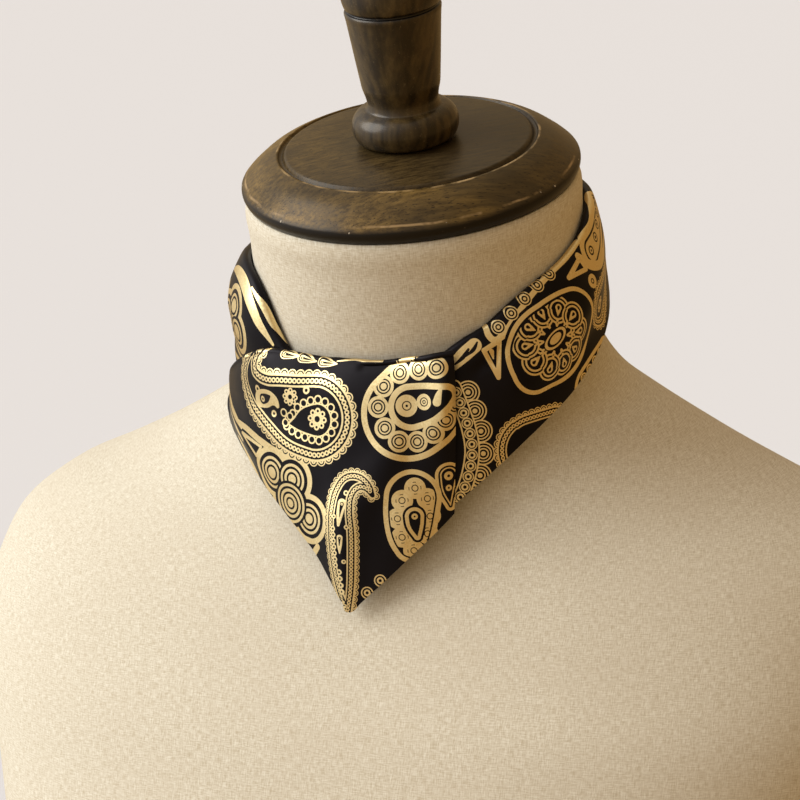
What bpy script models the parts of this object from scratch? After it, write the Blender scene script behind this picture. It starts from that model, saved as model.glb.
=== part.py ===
"""Square scarf, folded corner to corner and worn round the neck of a limbless dress form.

Metres, +Z up, the front faces -Y. The origin is the middle of the form's flat base.
The neck leans forward, so the cap and the scarf are worked out round the neck's own axis:
angle is measured round it from the front towards +X, and down is measured along it from
the widest line of the wooden cap.
"""
import math
from collections import namedtuple

import bmesh
import bpy
from mathutils import Vector
from mathutils.bvhtree import BVHTree

# Driving dimensions
CAP_CENTRE = Vector((0.0, -0.015, 0.420))
NECK_TILT = math.radians(16.4)
NECK_RADIUS = 0.0648
NECK_TOP_DOWN = 0.0082
CLOTH = 0.0016
GAP = 0.0005
LAYER_GAP = 0.0008
FORM_SIDES = 48
TURNED_SIDES = 48
FINIAL_SIDES = 32
ROLL_STEPS = 5
TURN_STEPS = 2
FOLD_ROUNDING = 0.00125
SPRING_DEPTH = 0.011
LEG_CROWDING = 1.2
RAY_START = 0.16
SPREAD_PASSES = 6
SPREAD_KEEP = 0.8
DEGREE = math.radians(1.0)

NECK_AXIS = Vector((0.0, -math.sin(NECK_TILT), math.cos(NECK_TILT)))
NECK_FRONT = Vector((0.0, -math.cos(NECK_TILT), -math.sin(NECK_TILT)))
NECK_SIDE = Vector((1.0, 0.0, 0.0))

LINEN = ("linen", (0.66, 0.56, 0.40), 0.85, 0.0)
WOOD = ("stained_wood", (0.075, 0.045, 0.022), 0.35, 0.0)
SATIN = ("printed_satin", (0.016, 0.014, 0.017), 0.36, 0.0)


def on_neck(angle, down, radius):
    """The point at an angle in degrees, a distance down the neck's axis and a radius from it."""
    turn = angle * DEGREE
    out = NECK_FRONT * math.cos(turn) + NECK_SIDE * math.sin(turn)
    return CAP_CENTRE - NECK_AXIS * down + out * radius


def clear_scene():
    for thing in list(bpy.data.objects):
        bpy.data.objects.remove(thing)


def material(look):
    name, colour, roughness, metallic = look
    found = bpy.data.materials.get(name)
    if found:
        return found
    made = bpy.data.materials.new(name)
    made.use_nodes = True
    shader = made.node_tree.nodes["Principled BSDF"]
    shader.inputs["Base Color"].default_value = (*colour, 1.0)
    shader.inputs["Roughness"].default_value = roughness
    shader.inputs["Metallic"].default_value = metallic
    return made


def add_object(name, points, faces, look):
    """A smooth-shaded object from points and faces, with every face turned outwards."""
    mesh = bpy.data.meshes.new(name)
    mesh.from_pydata(points, [], faces)
    work = bmesh.new()
    work.from_mesh(mesh)
    bmesh.ops.recalc_face_normals(work, faces=work.faces)
    work.to_mesh(mesh)
    work.free()
    mesh.shade_smooth()
    mesh.set_sharp_from_angle(angle=math.radians(40))
    thing = bpy.data.objects.new(name, mesh)
    bpy.context.scene.collection.objects.link(thing)
    mesh.materials.append(material(look))
    return thing


def track(rows, key, column):
    """A smooth curve through one column of a table, read by another column that only rises or falls."""
    rows = sorted(rows, key=lambda row: getattr(row, key))
    at = [getattr(row, key) for row in rows]
    value = [getattr(row, column) for row in rows]
    last = len(rows) - 1
    slope = [(value[i + 1] - value[i]) / (at[i + 1] - at[i]) for i in range(last)]
    tangent = [slope[0]]
    for i in range(1, last):
        before, after = slope[i - 1], slope[i]
        tangent.append(0.0 if before * after <= 0 else 2 * before * after / (before + after))
    tangent.append(slope[-1])

    def read(x):
        x = min(max(x, at[0]), at[-1])
        i = next((k for k in range(last) if x <= at[k + 1]), last - 1)
        span = at[i + 1] - at[i]
        t = (x - at[i]) / span
        start = (1 + 2 * t) * (1 - t) ** 2 * value[i] + t * (1 - t) ** 2 * span * tangent[i]
        end = t * t * (3 - 2 * t) * value[i + 1] + t * t * (t - 1) * span * tangent[i + 1]
        return start + end

    return read


# The dress form: level rings through the torso, tilting into the neck's own plane.
# centre_y and height place a ring's middle; front and back are its reaches from there.
Ring = namedtuple("Ring", "height centre_y tilt half_width front back power")
TORSO_RINGS = [
    Ring(0.0000, 0.0000, 0.0, 0.1450, 0.1035, 0.1010, 2.5),
    Ring(0.0035, 0.0000, 0.0, 0.1475, 0.1060, 0.1035, 2.5),
    Ring(0.0400, 0.0000, 0.0, 0.1520, 0.1085, 0.1050, 2.5),
    Ring(0.0750, 0.0000, 0.0, 0.1580, 0.1100, 0.1065, 2.5),
    Ring(0.1100, 0.0020, 0.0, 0.1660, 0.1105, 0.1065, 2.5),
    Ring(0.1500, 0.0060, 0.0, 0.1760, 0.1080, 0.1035, 2.5),
    Ring(0.1800, 0.0120, 0.0, 0.1840, 0.1070, 0.0980, 2.45),
    Ring(0.2100, 0.0200, 0.0, 0.1930, 0.1065, 0.0895, 2.4),
    Ring(0.2310, 0.0300, 0.0, 0.1990, 0.1075, 0.0775, 2.3),
    Ring(0.2500, 0.0380, 1.2, 0.1990, 0.1089, 0.0665, 2.2),
    Ring(0.2680, 0.0420, 3.0, 0.1920, 0.1069, 0.0586, 2.1),
    Ring(0.2820, 0.0420, 5.0, 0.1750, 0.1024, 0.0547, 2.05),
    Ring(0.2960, 0.0380, 7.0, 0.1450, 0.0947, 0.0539, 2.0),
    Ring(0.3064, 0.0335, 8.4, 0.1230, 0.0875, 0.0545, 2.0),
    Ring(0.3148, 0.0280, 9.7, 0.1070, 0.0812, 0.0565, 2.0),
    Ring(0.3224, 0.0215, 11.3, 0.0930, 0.0748, 0.0590, 2.0),
    Ring(0.3300, 0.0145, 13.2, 0.0790, 0.0686, 0.0635, 2.0),
]
Neck = namedtuple("Neck", "down half_width front back")
NECK_RINGS = [
    Neck(0.0820, 0.0690, 0.0655, 0.0665),
    Neck(0.0720, 0.0662, 0.0650, 0.0655),
    Neck(0.0600, 0.0654, 0.0649, 0.0651),
    Neck(0.0420, 0.0650, 0.0648, 0.0649),
    Neck(0.0220, 0.0648, 0.0648, 0.0648),
    Neck(0.0102, 0.0648, 0.0648, 0.0648),
    Neck(NECK_TOP_DOWN, 0.0640, 0.0640, 0.0640),
]


def oval(middle, tilt, half_width, front, back, power, sides):
    """One ring: a rounded oval that reaches further to the front or back, tipped forward by tilt."""
    forward = Vector((0.0, -math.cos(tilt), -math.sin(tilt)))
    ring = []
    for step in range(sides):
        turn = 2 * math.pi * step / sides
        across = math.sin(turn)
        along = math.cos(turn)
        reach = front if along > 0 else back
        x = half_width * math.copysign(abs(across) ** (2 / power), across)
        y = reach * math.copysign(abs(along) ** (2 / power), along)
        ring.append(middle + NECK_SIDE * x + forward * y)
    return ring


def form_rings(sides):
    rings = []
    for row in TORSO_RINGS:
        middle = Vector((0.0, row.centre_y, row.height))
        rings.append(oval(middle, row.tilt * DEGREE, row.half_width, row.front, row.back, row.power, sides))
    for row in NECK_RINGS:
        middle = CAP_CENTRE - NECK_AXIS * row.down
        rings.append(oval(middle, NECK_TILT, row.half_width, row.front, row.back, 2.0, sides))
    return rings


def lofted(rings):
    """Points and faces of a closed solid through rings of equal count, with flat ends."""
    sides = len(rings[0])
    points = [point for ring in rings for point in ring]
    faces = [tuple(range(sides)), tuple(reversed(range(len(points) - sides, len(points))))]
    for row in range(len(rings) - 1):
        for step in range(sides):
            after = (step + 1) % sides
            low, high = row * sides, (row + 1) * sides
            faces.append((low + step, high + step, high + after, low + after))
    return points, faces


def build_form():
    points, faces = lofted(form_rings(FORM_SIDES))
    return add_object("form_body", points, faces, LINEN)


# Turned wood, as radius and height above CAP_CENTRE, up the neck's axis.
Turned = namedtuple("Turned", "radius height")
CAP_UNDER = -0.0078
CAP_PROFILE = [
    Turned(0.0640, CAP_UNDER), Turned(0.0650, -0.0064), Turned(0.0656, -0.0045), Turned(0.0655, -0.0029),
    Turned(0.0642, -0.0013), Turned(0.0612, 0.0014), Turned(0.0562, 0.0052), Turned(0.0505, 0.0078),
    Turned(0.0499, 0.0066), Turned(0.0487, 0.0064), Turned(0.0481, 0.0074), Turned(0.0475, 0.0082),
    Turned(0.0400, 0.0087), Turned(0.0300, 0.0090), Turned(0.0150, 0.0092),
]
FINIAL_FOOT = 0.0095
FINIAL_PROFILE = [
    Turned(0.0163, FINIAL_FOOT), Turned(0.0188, 0.0106), Turned(0.0203, 0.0134), Turned(0.0206, 0.0163),
    Turned(0.0199, 0.0193), Turned(0.0181, 0.0215), Turned(0.0158, 0.0227), Turned(0.0145, 0.0230),
    Turned(0.0142, 0.0236), Turned(0.0152, 0.0325), Turned(0.0163, 0.0420), Turned(0.0174, 0.0520),
    Turned(0.0184, 0.0606), Turned(0.0186, 0.0620), Turned(0.0183, 0.0627), Turned(0.0175, 0.0630),
    Turned(0.0175, 0.0638), Turned(0.0184, 0.0642), Turned(0.0191, 0.0668), Turned(0.0193, 0.0705),
    Turned(0.0186, 0.0743), Turned(0.0166, 0.0765), Turned(0.0152, 0.0775), Turned(0.0158, 0.0795),
    Turned(0.0180, 0.0830), Turned(0.0194, 0.0880), Turned(0.0193, 0.0935), Turned(0.0176, 0.0985),
    Turned(0.0143, 0.1022), Turned(0.0095, 0.1044), Turned(0.0045, 0.1053),
]


def turned_rings(profile, sides):
    return [[on_neck(360.0 * step / sides, -row.height, row.radius) for step in range(sides)]
            for row in profile]


def build_turned(name, profile, sides):
    points, faces = lofted(turned_rings(profile, sides))
    return add_object(name, points, faces, WOOD)


# The scarf. Each stretch is cut by stations round the neck, one row for each.
# angle   degrees round the neck at the top fold, and lean, how far the hem swings from it
# top     down to the top fold; turn, how deep the cloth is folded in behind it
# inner   radius of the folded-in layer; outer, of the outer layer just below the fold
# belly   how far the middle stands proud of a straight line to the hem
# hem     down to the hem; hem_radius, its radius
Station = namedtuple("Station", "angle lean top turn inner outer belly hem hem_radius")
LEFT_STATIONS = [
    Station(-25.0, 0.0, 0.0590, 0.008, 0.0663, 0.0694, 0.0000, 0.0800, 0.0700),
    Station(-30.0, 0.0, 0.0562, 0.009, 0.0663, 0.0696, 0.0000, 0.0840, 0.0705),
    Station(-34.0, 0.0, 0.0512, 0.010, 0.0663, 0.0700, 0.0008, 0.0865, 0.0710),
    Station(-38.0, 0.0, 0.0445, 0.011, 0.0663, 0.0706, 0.0018, 0.0880, 0.0715),
    Station(-42.0, 0.0, 0.0385, 0.012, 0.0663, 0.0710, 0.0026, 0.0880, 0.0720),
    Station(-47.0, 0.0, 0.0342, 0.012, 0.0663, 0.0714, 0.0032, 0.0880, 0.0722),
    Station(-54.0, 0.0, 0.0318, 0.012, 0.0661, 0.0716, 0.0034, 0.0875, 0.0724),
    Station(-62.0, 0.0, 0.0310, 0.012, 0.0661, 0.0716, 0.0030, 0.0868, 0.0740),
    Station(-72.0, 0.0, 0.0320, 0.012, 0.0661, 0.0714, 0.0024, 0.0850, 0.0750),
    Station(-80.0, 0.0, 0.0338, 0.012, 0.0661, 0.0712, 0.0022, 0.0835, 0.0752),
    Station(-90.0, 0.0, 0.0350, 0.012, 0.0661, 0.0710, 0.0020, 0.0815, 0.0746),
    Station(-108.0, 0.0, 0.0338, 0.012, 0.0661, 0.0706, 0.0018, 0.0770, 0.0728),
    Station(-130.0, 0.0, 0.0312, 0.012, 0.0661, 0.0702, 0.0012, 0.0700, 0.0708),
    Station(-155.0, 0.0, 0.0288, 0.012, 0.0661, 0.0696, 0.0002, 0.0630, 0.0700),
    Station(-180.0, 0.0, 0.0290, 0.010, 0.0661, 0.0692, 0.0000, 0.0590, 0.0696),
    Station(-192.0, 0.0, 0.0340, 0.008, 0.0661, 0.0692, 0.0000, 0.0560, 0.0695),
]
RIGHT_STATIONS = [
    Station(18.0, -6.0, 0.0580, 0.006, 0.0662, 0.0692, 0.0000, 0.1100, 0.0864),
    Station(26.0, -5.0, 0.0535, 0.007, 0.0662, 0.0693, -0.0004, 0.1090, 0.0864),
    Station(31.0, -4.0, 0.0500, 0.008, 0.0662, 0.0700, -0.0006, 0.1036, 0.0851),
    Station(36.0, -3.0, 0.0472, 0.009, 0.0662, 0.0706, 0.0000, 0.0982, 0.0838),
    Station(41.0, -2.0, 0.0452, 0.010, 0.0662, 0.0710, 0.0006, 0.0930, 0.0826),
    Station(46.0, -1.0, 0.0420, 0.011, 0.0661, 0.0712, 0.0010, 0.0882, 0.0815),
    Station(53.0, 0.0, 0.0378, 0.012, 0.0661, 0.0712, 0.0014, 0.0830, 0.0800),
    Station(62.0, 0.0, 0.0342, 0.012, 0.0661, 0.0712, 0.0018, 0.0782, 0.0784),
    Station(74.0, 0.0, 0.0312, 0.012, 0.0661, 0.0708, 0.0018, 0.0718, 0.0762),
    Station(86.0, 0.0, 0.0278, 0.012, 0.0661, 0.0700, 0.0016, 0.0664, 0.0738),
    Station(96.0, 0.0, 0.0242, 0.012, 0.0661, 0.0695, 0.0014, 0.0632, 0.0718),
    Station(105.0, 0.0, 0.0226, 0.012, 0.0661, 0.0692, 0.0014, 0.0612, 0.0706),
    Station(115.0, 0.0, 0.0222, 0.012, 0.0661, 0.0692, 0.0014, 0.0600, 0.0704),
    Station(132.0, 0.0, 0.0232, 0.012, 0.0661, 0.0700, 0.0014, 0.0594, 0.0710),
    Station(148.0, 0.0, 0.0242, 0.012, 0.0676, 0.0720, 0.0014, 0.0595, 0.0726),
    Station(160.0, 0.0, 0.0250, 0.012, 0.0708, 0.0746, 0.0012, 0.0600, 0.0742),
    Station(176.0, 0.0, 0.0256, 0.012, 0.0716, 0.0754, 0.0012, 0.0606, 0.0746),
    Station(192.0, 0.0, 0.0266, 0.012, 0.0718, 0.0756, 0.0012, 0.0610, 0.0748),
    Station(206.0, 0.0, 0.0300, 0.011, 0.0724, 0.0758, 0.0010, 0.0608, 0.0750),
    Station(216.0, 0.0, 0.0366, 0.009, 0.0732, 0.0762, 0.0006, 0.0590, 0.0754),
    Station(222.0, 0.0, 0.0440, 0.006, 0.0738, 0.0766, 0.0000, 0.0560, 0.0760),
]
DRAPE_STATIONS = [
    Station(-84.0, 0.0, 0.0893, 0.002, 0.0765, 0.0797, 0.0000, 0.0950, 0.0806),
    Station(-80.0, 0.0, 0.0873, 0.003, 0.0764, 0.0796, 0.0000, 0.0968, 0.0812),
    Station(-73.0, 0.0, 0.0836, 0.004, 0.0762, 0.0794, 0.0000, 0.0976, 0.0816),
    Station(-65.0, 0.0, 0.0788, 0.005, 0.0757, 0.0790, 0.0002, 0.0974, 0.0814),
    Station(-56.0, 2.0, 0.0716, 0.007, 0.0751, 0.0785, 0.0006, 0.0978, 0.0814),
    Station(-48.0, 4.0, 0.0646, 0.008, 0.0742, 0.0781, 0.0010, 0.0998, 0.0820),
    Station(-41.0, 5.5, 0.0590, 0.009, 0.0732, 0.0773, 0.0014, 0.1035, 0.0838),
    Station(-35.0, 7.0, 0.0551, 0.010, 0.0718, 0.0760, 0.0016, 0.1080, 0.0858),
    Station(-29.0, 8.5, 0.0536, 0.011, 0.0702, 0.0746, 0.0018, 0.1135, 0.0882),
    Station(-21.0, 9.0, 0.0538, 0.012, 0.0678, 0.0727, 0.0018, 0.1215, 0.0922),
    Station(-13.0, 7.5, 0.0543, 0.012, 0.0664, 0.0716, 0.0018, 0.1305, 0.0970),
    Station(-6.0, 4.5, 0.0541, 0.012, 0.0663, 0.0714, 0.0020, 0.1390, 0.1014),
    Station(-1.5, 0.8, 0.0539, 0.012, 0.0663, 0.0714, 0.0020, 0.1418, 0.1026),
    Station(4.0, -1.0, 0.0537, 0.012, 0.0663, 0.0714, 0.0020, 0.1364, 0.1006),
    Station(10.0, -2.0, 0.0532, 0.012, 0.0664, 0.0716, 0.0018, 0.1292, 0.0980),
    Station(16.0, -3.0, 0.0518, 0.010, 0.0676, 0.0724, 0.0014, 0.1220, 0.0952),
    Station(21.5, -4.0, 0.0503, 0.007, 0.0708, 0.0748, 0.0008, 0.1160, 0.0928),
    Station(26.0, -4.5, 0.0492, 0.005, 0.0720, 0.0763, 0.0004, 0.1112, 0.0908),
    Station(29.3, -5.0, 0.0492, 0.004, 0.0720, 0.0750, 0.0000, 0.1078, 0.0892),
]

# Folds, each a soft ridge, or a trough where the height is negative, between two places on the cloth.
Fold = namedtuple("Fold", "angle_a down_a angle_b down_b half_width height")
LEFT_FOLDS = [
    Fold(-42.0, 0.055, -85.0, 0.040, 0.0045, 0.0012),
    Fold(-50.0, 0.068, -110.0, 0.050, 0.0050, -0.0012),
    Fold(-60.0, 0.078, -130.0, 0.056, 0.0050, 0.0010),
    Fold(-95.0, 0.042, -160.0, 0.042, 0.0050, -0.0010),
]
RIGHT_FOLDS = [
    Fold(34.0, 0.0600, 48.0, 0.0510, 0.0030, -0.0016),
    Fold(40.0, 0.0690, 100.0, 0.0370, 0.0050, 0.0012),
    Fold(42.0, 0.0800, 112.0, 0.0460, 0.0055, -0.0013),
    Fold(52.0, 0.0780, 128.0, 0.0545, 0.0045, 0.0010),
    Fold(118.0, 0.0320, 190.0, 0.0360, 0.0050, -0.0012),
    Fold(130.0, 0.0430, 205.0, 0.0460, 0.0050, 0.0013),
    Fold(140.0, 0.0530, 200.0, 0.0560, 0.0045, -0.0010),
]
DRAPE_FOLDS = [
    Fold(26.5, 0.0490, 24.0, 0.0800, 0.0032, 0.0022),
    Fold(20.5, 0.0530, 12.0, 0.1000, 0.0050, -0.0014),
    Fold(20.0, 0.0680, -8.0, 0.1180, 0.0070, 0.0016),
    Fold(-58.0, 0.0850, -22.0, 0.1000, 0.0050, 0.0014),
    Fold(-44.0, 0.0700, -14.0, 0.0800, 0.0055, -0.0012),
    Fold(-2.5, 0.1050, -2.5, 0.1450, 0.0060, 0.0022),
    Fold(12.0, 0.0900, 15.0, 0.1180, 0.0055, 0.0014),
]
FOLD_ROUND = 0.075


def fold_height(folds, angle, down):
    """How far the folds lift the cloth at a place; each one dies away at both its ends."""
    total = 0.0
    for fold in folds:
        ax, ay = fold.angle_a * DEGREE * FOLD_ROUND, fold.down_a
        bx, by = fold.angle_b * DEGREE * FOLD_ROUND, fold.down_b
        px, py = angle * DEGREE * FOLD_ROUND, down
        length = math.hypot(bx - ax, by - ay)
        along = ((px - ax) * (bx - ax) + (py - ay) * (by - ay)) / length ** 2
        off = ((px - ax) * (by - ay) - (py - ay) * (bx - ax)) / length
        if -0.25 < along < 1.25:
            fade = math.cos(math.pi * (along - 0.5) / 1.5) ** 2
            total += fold.height * fade * math.exp(-(off / fold.half_width) ** 2)
    return total


def stretch_grid(stations, folds, columns, leg_steps):
    """Mid-wall points of one stretch: a column for each angle, from the folded-in edge to the hem."""
    read = {name: track(stations, "angle", name) for name in Station._fields[1:]}
    first = min(row.angle for row in stations)
    final = max(row.angle for row in stations)
    grid = []
    for column in range(columns + 1):
        angle = first + (final - first) * column / columns
        at = {name: curve(angle) for name, curve in read.items()}
        round_over = min(FOLD_ROUNDING, (at["outer"] - at["inner"]) / 2)
        middle = at["inner"] + round_over
        spring = at["outer"] - at["inner"] - 2 * round_over
        last_turn = math.pi - math.atan(2 * spring / SPRING_DEPTH)
        start = at["top"] + round_over * (1.0 - math.sin(last_turn))
        spring = at["outer"] - middle + round_over * math.cos(last_turn)
        depth = max(at["turn"], round_over + 0.001)
        places = []
        for step in range(TURN_STEPS):
            down = at["top"] + depth + (round_over - depth) * step / TURN_STEPS
            places.append((angle, down, at["inner"]))
        for step in range(ROLL_STEPS):
            turn = last_turn * step / ROLL_STEPS
            down = at["top"] + round_over * (1.0 - math.sin(turn))
            places.append((angle, down, middle - round_over * math.cos(turn)))
        for step in range(leg_steps + 1):
            share = (step / leg_steps) ** LEG_CROWDING
            down = start + (at["hem"] - start) * share
            radius = at["outer"] + (at["hem_radius"] - at["outer"]) * share
            radius += at["belly"] * math.sin(math.pi * share)
            radius -= spring * max(0.0, 1.0 - (down - start) / SPRING_DEPTH) ** 2
            swing = angle + at["lean"] * share
            radius += fold_height(folds, swing, down) * min(1.0, share * 6)
            places.append((swing, down, radius))
        grid.append([on_neck(*place) for place in places])
    return grid


def pushed_clear(grid, tree, distance):
    """The same points, moved out along the nearest face of a solid where they lie too close to it."""
    for _ in range(3):
        for column in grid:
            for row, point in enumerate(column):
                spot, normal, _, _ = tree.find_nearest(point)
                height = (point - spot).dot(normal)
                if height < distance and (point - spot).length < 0.02:
                    column[row] = point + normal * (distance - height)
    return grid


def lifted_over(grid, trees):
    """The same points, moved out from the neck's axis where a stretch beneath them needs the room."""
    columns, rows = len(grid), len(grid[0])
    outward = [[None] * rows for _ in grid]
    lift = [[0.0] * rows for _ in grid]
    for i, column in enumerate(grid):
        for j, point in enumerate(column):
            foot = CAP_CENTRE + NECK_AXIS * (point - CAP_CENTRE).dot(NECK_AXIS)
            out = (point - foot).normalized()
            outward[i][j] = out
            for tree in trees:
                spot = tree.ray_cast(foot + out * RAY_START, -out, RAY_START - NECK_RADIUS)[0]
                if spot:
                    wanted = (spot - foot).length + CLOTH / 2 + LAYER_GAP
                    lift[i][j] = max(lift[i][j], wanted - (point - foot).length)
    for step in range(SPREAD_PASSES):
        keep = 1.0 if step == 0 else SPREAD_KEEP
        before = [line[:] for line in lift]
        for i in range(columns):
            for j in range(rows):
                around = [before[k][m] for k in (i - 1, i, i + 1) for m in (j - 1, j, j + 1)
                          if 0 <= k < columns and 0 <= m < rows]
                lift[i][j] = max(before[i][j], keep * max(around))
    for i in range(columns):
        for j in range(rows):
            grid[i][j] = grid[i][j] + outward[i][j] * lift[i][j]
    return lift


def grid_normals(grid):
    """A normal at each point of a grid, pointing away from the neck on the outer layer."""
    columns, rows = len(grid), len(grid[0])
    normals = []
    for i in range(columns):
        line = []
        for j in range(rows):
            across = grid[min(i + 1, columns - 1)][j] - grid[max(i - 1, 0)][j]
            along = grid[i][min(j + 1, rows - 1)] - grid[i][max(j - 1, 0)]
            line.append(along.cross(across).normalized())
        normals.append(line)
    return normals


def cloth_wall(name, grid):
    """A closed wall of cloth round a mid-wall grid, in the order column by column."""
    columns, rows = len(grid), len(grid[0])
    normals = grid_normals(grid)
    half = CLOTH / 2
    points = []
    for sign in (1, -1):
        for i in range(columns):
            points += [grid[i][j] + normals[i][j] * half * sign for j in range(rows)]
    shift = columns * rows
    faces = []
    for i in range(columns - 1):
        for j in range(rows - 1):
            a, b = i * rows + j, (i + 1) * rows + j
            faces.append((a, b, b + 1, a + 1))
            faces.append((a + shift + 1, b + shift + 1, b + shift, a + shift))
    edge = [i * rows for i in range(columns)]
    edge += [(columns - 1) * rows + j for j in range(1, rows)]
    edge += [i * rows + rows - 1 for i in range(columns - 2, -1, -1)]
    edge += [j for j in range(rows - 2, 0, -1)]
    for here, after in zip(edge, edge[1:] + edge[:1]):
        faces.append((after, here, here + shift, after + shift))
    return add_object(name, points, faces, SATIN)


Stretch = namedtuple("Stretch", "name stations folds columns leg_steps")
STRETCHES = [
    Stretch("left_wrap", LEFT_STATIONS, LEFT_FOLDS, 38, 11),
    Stretch("right_wrap", RIGHT_STATIONS, RIGHT_FOLDS, 50, 11),
    Stretch("front_drape", DRAPE_STATIONS, DRAPE_FOLDS, 42, 16),
]


def solid_tree(thing):
    """The faces of an object that has no transform of its own, ready to be measured against."""
    work = bmesh.new()
    work.from_mesh(thing.data)
    tree = BVHTree.FromBMesh(work)
    work.free()
    return tree


def build_scarf(form):
    tree = solid_tree(form)
    beneath = []
    for stretch in STRETCHES:
        grid = stretch_grid(stretch.stations, stretch.folds, stretch.columns, stretch.leg_steps)
        lifted_over(grid, beneath)
        pushed_clear(grid, tree, CLOTH / 2 + GAP)
        beneath.append(solid_tree(cloth_wall(stretch.name, grid)))


def main():
    clear_scene()
    form = build_form()
    build_turned("neck_cap", CAP_PROFILE, TURNED_SIDES)
    build_turned("finial", FINIAL_PROFILE, FINIAL_SIDES)
    build_scarf(form)


main()
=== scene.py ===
"""Looks of a square scarf worn on a limbless dress form.

Metres, +Z up, the front faces -Y. The cloth follows its solids: the same stations round the
neck give each stretch, which is then laid flat, printed and cut into a thin shell.
"""
import math
from collections import namedtuple
import bpy
import numpy as np
from mathutils import Matrix, Vector
from mathutils.bvhtree import BVHTree
from mathutils.geometry import delaunay_2d_cdt


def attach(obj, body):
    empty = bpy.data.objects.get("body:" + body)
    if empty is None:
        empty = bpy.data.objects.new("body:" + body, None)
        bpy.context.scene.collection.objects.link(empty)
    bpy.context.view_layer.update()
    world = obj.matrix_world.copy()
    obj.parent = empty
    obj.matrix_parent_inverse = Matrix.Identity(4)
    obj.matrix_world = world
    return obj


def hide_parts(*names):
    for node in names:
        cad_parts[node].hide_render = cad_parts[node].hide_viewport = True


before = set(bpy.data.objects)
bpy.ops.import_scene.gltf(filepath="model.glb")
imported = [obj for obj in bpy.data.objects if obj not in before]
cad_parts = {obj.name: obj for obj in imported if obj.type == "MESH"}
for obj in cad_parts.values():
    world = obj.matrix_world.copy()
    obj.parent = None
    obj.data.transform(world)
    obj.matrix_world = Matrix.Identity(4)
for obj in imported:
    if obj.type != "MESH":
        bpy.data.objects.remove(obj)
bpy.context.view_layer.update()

DEGREE = math.radians(1.0)
MM = 0.001

# The neck's own axis, as in the solids
CAP_CENTRE = Vector((0.0, -0.015, 0.420))
NECK_TILT = math.radians(16.4)
NECK_RADIUS = 0.0648
NECK_AXIS = Vector((0.0, -math.sin(NECK_TILT), math.cos(NECK_TILT)))
NECK_FRONT = Vector((0.0, -math.cos(NECK_TILT), -math.sin(NECK_TILT)))
NECK_SIDE = Vector((1.0, 0.0, 0.0))
CLOTH = 0.0016
GAP = 0.0005
LAYER_GAP = 0.0008
ROLL_STEPS = 5
TURN_STEPS = 2
FOLD_ROUNDING = 0.00125
SPRING_DEPTH = 0.011
LEG_CROWDING = 1.2
RAY_START = 0.16
SPREAD_PASSES = 6
SPREAD_KEEP = 0.8
PUSH_PASSES = 3
PUSH_REACH = 0.02
FOLD_RISE = 6
FOLD_FADE = 0.25


def table(kind, plain, rows):
    """Named rows; the first columns stand as they are and the rest are in millimetres."""
    return [kind(*row[:plain], *(round(value * MM, 7) for value in row[plain:])) for row in rows]


def unit(ways):
    return ways / np.linalg.norm(ways, axis=-1, keepdims=True)


def eased(t, span, a, b, slope_a, slope_b):
    """A smooth curve from a to b, with a slope at each end."""
    return ((1 + 2 * t) * (1 - t) ** 2 * a + t * (1 - t) ** 2 * span * slope_a
            + t * t * (3 - 2 * t) * b + t * t * (t - 1) * span * slope_b)


def on_neck(angle, down, radius):
    """The point at an angle in degrees, a distance down the neck's axis and a radius from it."""
    turn = angle * DEGREE
    out = NECK_FRONT * math.cos(turn) + NECK_SIDE * math.sin(turn)
    return CAP_CENTRE - NECK_AXIS * down + out * radius


def track(rows, key, column):
    """A smooth curve through one column of a table, read by another column that only rises or falls."""
    rows = sorted(rows, key=lambda row: getattr(row, key))
    at = [getattr(row, key) for row in rows]
    value = [getattr(row, column) for row in rows]
    last = len(rows) - 1
    slope = [(value[i + 1] - value[i]) / (at[i + 1] - at[i]) for i in range(last)]
    tangent = [slope[0]]
    for i in range(1, last):
        before, after = slope[i - 1], slope[i]
        tangent.append(0.0 if before * after <= 0 else 2 * before * after / (before + after))
    tangent.append(slope[-1])

    def read(x):
        x = min(max(x, at[0]), at[-1])
        i = next((k for k in range(last) if x <= at[k + 1]), last - 1)
        span = at[i + 1] - at[i]
        return eased((x - at[i]) / span, span, value[i], value[i + 1], tangent[i], tangent[i + 1])

    return read


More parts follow.
